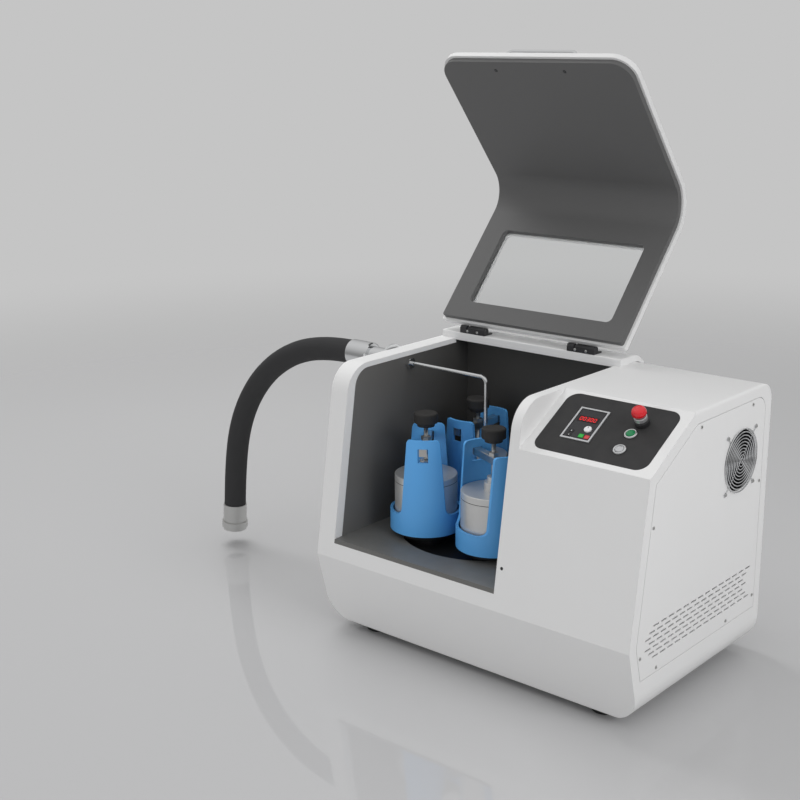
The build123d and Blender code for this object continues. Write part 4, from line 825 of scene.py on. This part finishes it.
# ---- studio -----------------------------------------------------------------
@dataclass
class Studio:
    """Camera, floor and soft light."""
    palette: Palette
    eye: Triple = (1.4379, -2.124832, 1.1716)
    yaw: float = math.radians(40.894)
    pitch: float = math.radians(15.2195)
    roll: float = math.radians(-0.4544)
    lens: float = 61.655
    backdrop: float = 0.558
    room_low: float = 0.26
    room_high: float = 0.68
    sky_top: float = 0.8
    floor_size: float = 60.0
    aim_height: float = 0.35
    lights: tuple = (("Key light", (-1.9, 0.45, 2.6), 1.6, 40.0),
                     ("Right light", (3.0, -0.6, 1.6), 1.8, 42.0),
                     ("Front light", (-0.4, -3.0, 0.3), 1.8, 23.0))

    def camera(self) -> None:
        """Adds the camera, from its yaw, pitch and roll."""
        turn = (Matrix.Rotation(self.yaw, 4, "Z") @ Matrix.Rotation(math.pi / 2 - self.pitch, 4, "X")
                @ Matrix.Rotation(self.roll, 4, "Z"))
        data = bpy.data.cameras.new("Camera")
        data.lens = self.lens
        data.sensor_width = 36.0
        camera = bpy.data.objects.new("Camera", data)
        camera.matrix_world = Matrix.Translation(self.eye) @ turn
        bpy.context.scene.collection.objects.link(camera)
        bpy.context.scene.camera = camera

    def light(self, name: str, place: Sequence[float], size: float, power: float) -> None:
        """Adds a soft square light, aimed at the mill and not mirrored in what shines.

        Args:
            name: the light's name.
            place: where it hangs.
            size: its side.
            power: its power in watts.
        """
        data = bpy.data.lights.new(name, "AREA")
        data.shape = "SQUARE"
        data.size = size
        data.energy = power
        lamp = bpy.data.objects.new(name, data)
        lamp.location = place
        aim = Vector((0.0, 0.0, self.aim_height)) - Vector(place)
        lamp.rotation_euler = aim.to_track_quat("-Z", "Y").to_euler()
        lamp.visible_camera = False
        lamp.visible_glossy = False
        bpy.context.scene.collection.objects.link(lamp)

    def build(self) -> None:
        """Builds the pale room: floor, lights, and a sky.

        The camera sees the sky as an even grey. The light that it gives, and what
        shining pieces mirror of it, grows from the horizon upwards.
        """
        deselect()
        bpy.ops.mesh.primitive_plane_add(size=self.floor_size, location=(0, 0, 0))
        floor = bpy.context.object
        floor.name = "studio_floor"
        floor.data.materials.append(self.palette.of(STUDIO_FLOOR))
        world = bpy.data.worlds.new("Pale room")
        world.use_nodes = True
        tree = Tree(world.node_tree)
        ray = tree.add("ShaderNodeTexCoord").outputs["Generated"]
        height = tree.add("ShaderNodeSeparateXYZ", {0: ray}).outputs[2]
        room = tree.add("ShaderNodeMapRange", {"Value": height, "From Min": 0.0, "From Max": self.sky_top,
                                               "To Min": self.room_low, "To Max": self.room_high})
        path = tree.add("ShaderNodeLightPath").outputs
        seen = tree.math("MAXIMUM", path["Is Camera Ray"], path["Is Transmission Ray"])
        grey = tree.blend(seen, room.outputs[0], (self.backdrop, self.backdrop, self.backdrop))
        tree.join(grey, world.node_tree.nodes["Background"].inputs["Color"])
        bpy.context.scene.world = world
        bpy.context.scene.view_settings.view_transform = "Standard"
        for light in self.lights:
            self.light(*light)


# ---- sub-assemblies ---------------------------------------------------------
@dataclass
class Assembly:
    """A sub-assembly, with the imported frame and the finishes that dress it."""
    frame: dict
    palette: Palette

    def dress(self, node: str, finish: Finish) -> None:
        """Gives a CAD node its finish."""
        for slot in self.frame["nodes"][node].material_slots:
            slot.material = self.palette.of(finish)

    def put(self, piece: Piece, finish: Finish, body: str, place: Optional[Matrix] = None,
            angle: float = 35.0) -> None:
        """Sets a new piece down in its finish, on the body that carries it.

        Args:
            piece: the piece.
            finish: its finish.
            body: the body that it rides on.
            place: where it goes, or None where it is there already.
            angle: edges sharper than this stay sharp, in degrees.
        """
        if place is not None:
            settle(piece, place)
        pick(piece)
        if piece.type == "MESH":
            bpy.ops.object.shade_smooth_by_angle(angle=math.radians(angle))
        piece.data.materials.clear()
        piece.data.materials.append(self.palette.of(finish))
        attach(piece, body)
        LOG.info("%s rides on %s", piece.name, body)


@dataclass
class GasHose(Assembly):
    """The insulated supply hose."""
    diameter: float = 0.050
    length: float = 0.636
    route: tuple = ((-0.4748, -0.067232, 0.514), (-0.5448, -0.067232, 0.514), (-0.6468, -0.071232, 0.489),
                    (-0.7378, -0.076232, 0.427), (-0.8038, -0.080232, 0.333), (-0.8368, -0.082232, 0.218),
                    (-0.8448, -0.082232, 0.098))

    def build(self) -> None:
        data = bpy.data.curves.new("gas_hose", "CURVE")
        data.dimensions = "3D"
        data.resolution_u = 24
        data.bevel_depth = self.diameter / 2
        data.bevel_resolution = 12
        data.use_fill_caps = True
        spline = data.splines.new("NURBS")
        spline.points.add(len(self.route) - 1)
        for point, place in zip(spline.points, self.route):
            point.co = (*place, 1.0)
        spline.order_u = 3
        spline.use_endpoint_u = True
        hose = bpy.data.objects.new("gas_hose", data)
        bpy.context.scene.collection.objects.link(hose)
        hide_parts("supply_hose")
        self.put(hose, FOAM, "cabinet")


@dataclass
class Console(Assembly):
    """Keypad, push buttons and emergency stop on the console."""
    keypad_place: tuple = (0.542378, 0.0874)
    dial_place: tuple = (0.554878, 0.0764)
    start_place: tuple = (0.634007, 0.088)
    power_place: tuple = (0.634007, 0.0485)
    estop_place: tuple = (0.641507, 0.1165)
    face_size: tuple = (0.0521, 0.0711, 0.0004)
    face_top: float = 0.0014
    display_place: tuple = (0.5421, 0.0995)
    display_size: tuple = (0.040, 0.0125, 0.0006)
    reading: str = "00300"
    digit_w: float = 0.0042
    digit_h: float = 0.0080
    digit_pitch: float = 0.0070
    stroke: float = 0.0008
    film: float = 0.0002
    figure_lift: float = 0.0021
    colour_keys: tuple = (("run_key", GREEN_KEY, 0.5506, 0.0593), ("halt_key", RED_KEY, 0.5625, 0.0586))
    colour_key_size: tuple = (0.0095, 0.0085, 0.0012)
    arrow_keys: tuple = ((0.5267, 0.0671), (0.5266, 0.0569))
    arrow_key_size: tuple = (0.0085, 0.0068, 0.0008)
    arrow_x: float = 0.52665
    arrow_lift: float = 0.0008
    dial_mark_lift: float = 0.00485
    dial_mark_out: float = 0.0030
    dial_mark_size: tuple = (0.0009, 0.0042, 0.0003)

    LIT = {"0": "abcdef", "3": "abcdg"}

    def segment(self, letter: str, x: float) -> Piece:
        """One lit bar of a figure.

        Args:
            letter: the bar's letter, as on any seven-bar figure.
            x: the figure's middle.

        Returns:
            The bar.
        """
        w, h = self.digit_w, self.digit_h
        spots = {"a": (0, h / 2, w, 1), "g": (0, 0, w, 1), "d": (0, -h / 2, w, 1),
                 "b": (w / 2, h / 4, h / 2, 0), "c": (w / 2, -h / 4, h / 2, 0),
                 "e": (-w / 2, -h / 4, h / 2, 0), "f": (-w / 2, h / 4, h / 2, 0)}
        dx, dy, long, flat = spots[letter]
        length, width = long - self.stroke, self.stroke
        size = (length, width, self.film) if flat else (width, length, self.film)
        return slab("bar", size, (x + dx, dy, self.figure_lift), edge=0.00005)

    def key(self, name: str, size: Triple, lift: float, edge: float, corner: float) -> Piece:
        """One key or pane, its middle lifted a little from the keypad's face."""
        return slab(name, size, (0, 0, self.face_top + lift), edge, corner)

    def keypad(self) -> None:
        """Face, display, figures, keys and the dial's mark inside the keypad's frame."""
        face = self.key("keypad_face", self.face_size, lift=-self.face_size[2] / 2, edge=0.0001,
                        corner=0.0015)
        self.put(face, KEYPAD_FACE, "cabinet", PLACES.on_console(*self.keypad_place))
        at = PLACES.on_console(*self.display_place)
        window = self.key("keypad_display", self.display_size, lift=0.0003, edge=0.0001, corner=0.0008)
        self.put(window, DISPLAY, "cabinet", at)
        bars = []
        for index, figure in enumerate(self.reading):
            shift = (index - (len(self.reading) - 1) / 2) * self.digit_pitch
            bars += [self.segment(letter, shift) for letter in self.LIT[figure]]
        self.put(joined("keypad_figures", bars), DIGITS, "cabinet", at)
        self.keys()
        pointer = slab("dial_mark", self.dial_mark_size, (0, self.dial_mark_out, 0), edge=0.0001)
        at = PLACES.on_console(*self.dial_place) @ raised(self.dial_mark_lift)
        self.put(pointer, KEYPAD_FACE, "dial", at)

    def keys(self) -> None:
        """Run and halt keys, and two arrow keys with their marks."""
        for name, finish, x, up in self.colour_keys:
            key = self.key(name, self.colour_key_size, lift=0.0005, edge=0.0004, corner=0.0015)
            self.put(key, finish, "cabinet", PLACES.on_console(x, up))
        keys, marks = [], []
        for x, up in self.arrow_keys:
            key = self.key("key", self.arrow_key_size, lift=0.0003, edge=0.0002, corner=0.001)
            keys.append(settle(key, PLACES.on_console(x, up)))
        self.put(joined("grey_keys", keys), CONSOLE_PLATE, "cabinet")
        for (_, up), turn in zip(self.arrow_keys, (0.0, math.pi)):
            deselect()
            bpy.ops.mesh.primitive_cone_add(vertices=3, radius1=0.0014, radius2=0.0011, depth=self.film,
                                            location=(0, 0, self.face_top + self.arrow_lift),
                                            rotation=(0, 0, turn))
            marks.append(settle(fresh("mark"), PLACES.on_console(self.arrow_x, up)))
        self.put(joined("key_marks", marks), WHITE, "cabinet")

    def bezel(self, name: str, place: tuple) -> None:
        """Adds a push button's bright bezel with its barrel behind the console.

        Args:
            name: the piece's name.
            place: where it is on the console.
        """
        profile = [(0.0083, -0.0235), (0.0105, -0.0235), (0.0105, 0.0)]
        rim = eased([(0.0105, 0.0), (0.0120, 0.0), (0.0120, 0.0018), (0.0108, 0.0032), (0.0090, 0.0034),
                     (0.0083, 0.0026)], 0.0005, 3)
        piece = lathe(name, profile + rim[1:] + profile[:1])
        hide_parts("button_collars")
        self.put(piece, CHROME, "cabinet", PLACES.on_console(*place))

    def cap(self, name: str, node: str, body: str, place: tuple, finish: Finish) -> None:
        """Adds a push button's domed cap.

        Args:
            name: the piece's name.
            node: the CAD node that it stands for.
            body: the body that it rides on.
            place: where it is on the console.
            finish: its finish.
        """
        profile = eased([(0.0, -0.0165), (0.0079, -0.0165), (0.0079, 0.0036), (0.0050, 0.0047),
                         (0.0, 0.0050)], 0.0012)
        piece = lathe(name, profile)
        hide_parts(node)
        self.put(piece, finish, body, PLACES.on_console(*place))

    def estop(self) -> None:
        """The emergency stop: black base, pale collar and red mushroom."""
        at = PLACES.on_console(*self.estop_place)
        base = lathe("estop_base", [(0.0105, -0.024)] + eased(
            [(0.0105, 0.0), (0.0133, 0.0), (0.0133, 0.0084), (0.0120, 0.0100), (0.0054, 0.0100)], 0.0012)
            + [(0.0054, -0.024), (0.0105, -0.024)])
        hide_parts("button_collars")
        self.put(base, BLACK, "cabinet", at)
        collar = lathe("estop_collar", eased(
            [(0.0055, 0.0101), (0.0111, 0.0101), (0.0118, 0.0112), (0.0118, 0.0176), (0.0110, 0.0190),
             (0.0055, 0.0190)], 0.0006, 3) + [(0.0055, 0.0101)])
        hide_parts("button_collars")
        self.put(collar, SATIN_SILVER, "cabinet", at)
        head = lathe("estop_mushroom", [(0.0, -0.0157), (0.0050, -0.0157)] + eased(
            [(0.0050, 0.0232), (0.0122, 0.0232), (0.0133, 0.0248), (0.0133, 0.0288), (0.0114, 0.0340),
             (0.0070, 0.0362), (0.0, 0.0363)], 0.0020), 64)
        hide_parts("estop_head")
        self.put(head, RED, "estop", at, angle=50.0)

    def build(self) -> None:
        """Builds everything on the console."""
        self.keypad()
        self.bezel("start_bezel", self.start_place)
        self.bezel("power_bezel", self.power_place)
        self.cap("start_lens", "start_button", "start", self.start_place, GREEN)
        self.cap("power_cap", "power_button", "power", self.power_place, SATIN_SILVER)
        self.estop()


@dataclass
class FanUnit(Assembly):
    """Wire finger guard of the fan and the screws of the side panel."""
    fan_y: float = 0.361
    fan_z: float = 0.4124
    wire: float = 0.0011
    ring_lift: float = 0.00286
    rings: int = 10
    step: float = 0.006
    pitch: float = 0.105
    eye_gap: float = 0.0025
    head_r: float = 0.0034
    head_h: float = 0.0014
    sites: tuple = ((0.3995, 0.5085), (0.2105, 0.5085), (0.3395, 0.1056), (0.0905, 0.1056), (0.4415, 0.124),
                    (0.4415, 0.353), (0.0356, 0.141), (0.0624, 0.368))

    def guard(self) -> None:
        """Rings on two crossed wires that end in an eye at each screw."""
        parts = [wire_ring("ring", n * self.step - self.wire, self.wire, self.ring_lift, 72)
                 for n in range(1, self.rings + 1)]
        half = self.pitch / 2
        reach = half - self.eye_gap
        for side in (1, -1):
            parts.append(wire_rod("wire", self.wire, Vector((-reach, -side * reach, self.wire)),
                                  Vector((reach, side * reach, self.wire))))
        for x in (-half, half):
            for y in (-half, half):
                eye = wire_ring("eye", self.head_r, self.wire, self.wire, 24)
                parts.append(settle(eye, Matrix.Translation((x, y, 0))))
        guard = joined("fan_wire_guard", parts)
        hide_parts("fan_guard")
        self.put(guard, CHROME, "cabinet", PLACES.on_side(self.fan_y, self.fan_z))

    def screws(self) -> None:
        """Socket screws round the side panel and at the fan's corners."""
        head = lathe("panel_socket_screws", eased(
            [(0.0, -0.006), (0.0020, -0.006), (0.0020, 0.0), (self.head_r, 0.0), (self.head_r, 0.0006),
             (0.0022, self.head_h), (0.0015, self.head_h), (0.0015, 0.0005), (0.0, 0.0005)], 0.0003, 2), 18)
        half = self.pitch / 2
        places = [PLACES.on_side(y, z) for y, z in self.sites]
        places += [PLACES.on_side(self.fan_y + sy * half, self.fan_z + sz * half) @ raised(2 * self.wire)
                   for sy in (-1, 1) for sz in (-1, 1)]
        screws = copies(head, places)
        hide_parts("panel_screws")
        self.put(screws, STEEL, "cabinet")

    def build(self) -> None:
        """Builds the guard and the screws."""
        self.guard()
        self.screws()


@dataclass
class Station(Assembly):
    """One planet station: finishes, and seal, threaded screw and nut on its axis.

    Fields: its number, its axis, its turn in degrees, how much higher than the third
    station's its screw stands, and the places and sizes of the screw and the seal.
    """
    number: int
    x: float
    y: float
    yaw: float
    rise: float
    thread_low: float = 0.3488
    thread_high: float = 0.4180
    thread_pitch: float = 0.00125
    thread_depth: float = 0.00045
    thread_root: float = 0.00402
    seal_r: float = 0.0612
    seal_wire: float = 0.0008
    seal_z: float = 0.3113

    def turned(self, name: str, base: Finish) -> Finish:
        """A finish with turning lines about this station's axis."""
        place = in_frame(self.x, self.y, 0)
        return replace(base, name=f"{name} {self.number}", axis=(place.x, place.y), dust=0.0)

    def axis_place(self) -> Matrix:
        """The station's axis at the bench, turned with its holder."""
        return set_at(self.x, self.y, 0, math.radians(self.yaw), "Z")

    def screw(self) -> None:
        """The clamp screw's thread, from the lid's boss to the knob."""
        low, high = self.thread_low + self.rise, self.thread_high + self.rise
        pitch, root = self.thread_pitch, self.thread_root
        piece = chain(f"clamp_thread_{self.number}",
                      [(root, low), (root + self.thread_depth, low + pitch / 2), (root, low + pitch)])
        bpy.ops.object.mode_set(mode="OBJECT")
        apply_modifier(piece, "SCREW", screw_offset=pitch, iterations=int((high - low) / pitch), steps=20,
                       render_steps=20)
        bpy.ops.object.mode_set(mode="EDIT")
        close_mesh(fill=True)
        self.put(piece, STEEL, f"clamp_{self.number}", self.axis_place(), angle=60.0)

    def nut(self) -> None:
        """Hexagon nut round the bar's boss."""
        profile = [(0.0066, 0.3923), (0.0098, 0.3923), (0.0098, 0.3990), (0.0088, 0.3997),
                   (0.0066, 0.3997), (0.0066, 0.3923)]
        piece = lathe(f"bar_nut_{self.number}", profile, 6)
        self.put(piece, STEEL, f"planet_{self.number}", self.axis_place(), angle=20.0)

    def seal(self) -> None:
        """Seal ring between the jar and its lid."""
        ring = wire_ring(f"jar_seal_{self.number}", self.seal_r, self.seal_wire, self.seal_z, 96)
        self.put(ring, RUBBER, f"planet_{self.number}", self.axis_place())

    def build(self) -> None:
        """Dresses the station and adds its fine pieces."""
        for node, finish in (("grinding_jar", self.turned("Turned jar", JAR_STEEL)),
                             ("jar_lid", self.turned("Turned lid", JAR_STEEL)), ("clamp_bar", STEEL),
                             ("clamp_knob", self.turned("Turned knob", KNOB_BLACK)), ("jar_holder", BLUE),
                             ("planet_spindle", BLACK_STEEL)):
            self.dress(f"{node}_{self.number}", finish)
        self.screw()
        self.nut()
        self.seal()


STATIONS = ((1, 0.15602, 0.15187, 34.5, 0.003), (2, 0.32148, 0.15187, 67.5, 0.003),
            (3, 0.32148, 0.31733, 17.0, 0.0), (4, 0.15602, 0.31733, 0.0, -0.002))


@dataclass
class LidAndHinges(Assembly):
    """Screws of the lid, the handle and the hinges, and the handle's rosettes."""
    hinge_x: tuple = (0.055, 0.323)
    hinge_w: float = 0.064
    web_middle: float = 0.5575
    plate_front: float = 0.386
    handle_x: float = 0.222
    handle_pitch: float = 0.161
    handle_up: float = 0.0265
    arm_screw_y: float = 0.360
    arm_screw_z: float = 0.5655
    arm_screw_half: float = 0.008
    inner_face: float = 0.0028
    outer_face: float = 0.0235
    screw_shares: tuple = (0.30, 0.70)

    def pan_head(self, name: str, radius: float, height: float) -> Piece:
        """A pan head screw with a socket, its seat at the origin.

        Args:
            name: the piece's name.
            radius: the head's radius.
            height: the head's height.

        Returns:
            The screw.
        """
        return lathe(name, eased(
            [(0.0, -0.0015), (radius * 0.5, -0.0015), (radius * 0.5, 0.0), (radius, 0.0),
             (radius, height * 0.4), (radius * 0.6, height), (radius * 0.4, height),
             (radius * 0.4, height * 0.45), (0.0, height * 0.45)], radius * 0.1, 2), 20)

    def hinge_screws(self) -> None:
        """Two screws in the front of each fixed bracket."""
        head = self.pan_head("hinge_screws", radius=0.0030, height=0.0014)
        places = [set_at(x + self.hinge_w * share, self.plate_front, self.web_middle, math.pi / 2)
                  for x in self.hinge_x for share in self.screw_shares]
        self.put(copies(head, places), STEEL, "cabinet")

    def arm_screws(self) -> None:
        """Two screws that hold each moving arm on the lid."""
        head = self.pan_head("arm_screws", radius=0.0036, height=0.0016)
        places = [PLACES.opened() @ set_at(x + self.hinge_w / 2 + side, self.arm_screw_y, self.arm_screw_z)
                  for x in self.hinge_x for side in (-self.arm_screw_half, self.arm_screw_half)]
        self.put(copies(head, places), STEEL, "lid")

    def handle_fittings(self) -> None:
        """The handle's screws inside the lid and its rosettes outside."""
        head = self.pan_head("lid_inner_screws", radius=0.0042, height=0.0016)
        half = self.handle_pitch / 2
        ends = [PLACES.on_lid_end(self.handle_x + side, self.handle_up) for side in (-half, half)]
        inside = raised(self.inner_face) @ Matrix.Rotation(math.pi, 4, "X")
        self.put(copies(head, [end @ inside for end in ends]), HINGE_BLACK, "lid")
        rosette = lathe("handle_rosettes", eased(
            [(0.0052, 0.0), (0.0095, 0.0), (0.0095, 0.0015), (0.0070, 0.0032), (0.0052, 0.0034)], 0.0006, 3)
            + [(0.0052, 0.0)], 32)
        self.put(copies(rosette, [end @ raised(self.outer_face) for end in ends]), CHROME, "lid")

    def build(self) -> None:
        """Builds the screws and the handle's rosettes."""
        self.hinge_screws()
        self.arm_screws()
        self.handle_fittings()


CABINET_FINISHES = {
    "cabinet_shell": PAINT, "side_panel": PAINT, "fan_housing": BLACK, "chamber_liner": LINER,
    "chamber_floor": FLOOR_PLATE, "base_frame": DARK_STEEL, "feet": RUBBER, "spindle_housing": DARK_STEEL,
    "sun_gear": DARK_STEEL, "drive_motor": MOTOR, "drive_belt": RUBBER, "inverter": SATIN_SILVER,
    "control_panel": CONSOLE_PLATE, "hinge_beam": PAINT, "hinge_brackets": HINGE_BLACK,
    "inlet_fitting": CHROME, "nozzle_tube": CHROME, "hose_coupling": STEEL, "mains_inlet": BLACK,
    "turntable": BLACK_STEEL, "main_shaft": DARK_STEEL, "motor_pulley": DARK_STEEL, "fan_rotor": BLACK,
    "lid_shell": PAINT, "lid_liner": LID_LINER, "window_pane": GLASS, "lid_handle": CHROME,
    "hinge_arms": HINGE_BLACK, "speed_dial": WHITE,
}


@dataclass
class CabinetTrim(Assembly):
    """Finishes of the CAD pieces outside the stations, and small pieces on the cabinet."""
    lock_place: tuple = (0.4464, 0.0123, 0.2406)
    switch_x: float = 0.560
    switch_z: float = 0.075
    bezel_size: tuple = (0.030, 0.024, 0.0025)
    rocker_size: tuple = (0.022, 0.016, 0.0050)
    rocker_lift: float = 0.0030
    rocker_tip: float = math.radians(7)

    def paint(self) -> None:
        """Dresses every CAD node outside the stations."""
        for node, finish in CABINET_FINISHES.items():
            self.dress(node, finish)

    def build(self) -> None:
        """Builds the interlock's button and the main switch on the back."""
        profile = eased([(0.0, -0.002), (0.0031, -0.002), (0.0031, 0.0003), (0.0024, 0.0007),
                         (0.0, 0.0008)], 0.0003, 3)
        dot = lathe("interlock_button", profile, 24)
        self.put(dot, BLACK, "cabinet", PLACES.on_front(*self.lock_place))
        at = PLACES.on_back(self.switch_x, self.switch_z)
        bezel = slab("switch_bezel", self.bezel_size, (0, 0, self.bezel_size[2] / 2), edge=0.0005,
                     corner=0.002)
        self.put(bezel, BLACK, "cabinet", at)
        rocker = slab("switch_rocker", self.rocker_size, (0, 0, self.rocker_lift), edge=0.0008, corner=0.0015)
        self.put(rocker, RED, "cabinet", at @ Matrix.Rotation(self.rocker_tip, 4, "Y"))


def main() -> None:
    """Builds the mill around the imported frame."""
    logging.basicConfig(level=logging.INFO, format="%(name)s: %(message)s")
    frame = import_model()
    palette = Palette()
    studio = Studio(palette)
    studio.camera()
    GasHose(frame, palette).build()
    studio.build()
    trim = CabinetTrim(frame, palette)
    trim.paint()
    for station in STATIONS:
        Station(frame, palette, *station).build()
    Console(frame, palette).build()
    FanUnit(frame, palette).build()
    LidAndHinges(frame, palette).build()
    trim.build()


if __name__ == "__main__":
    main()
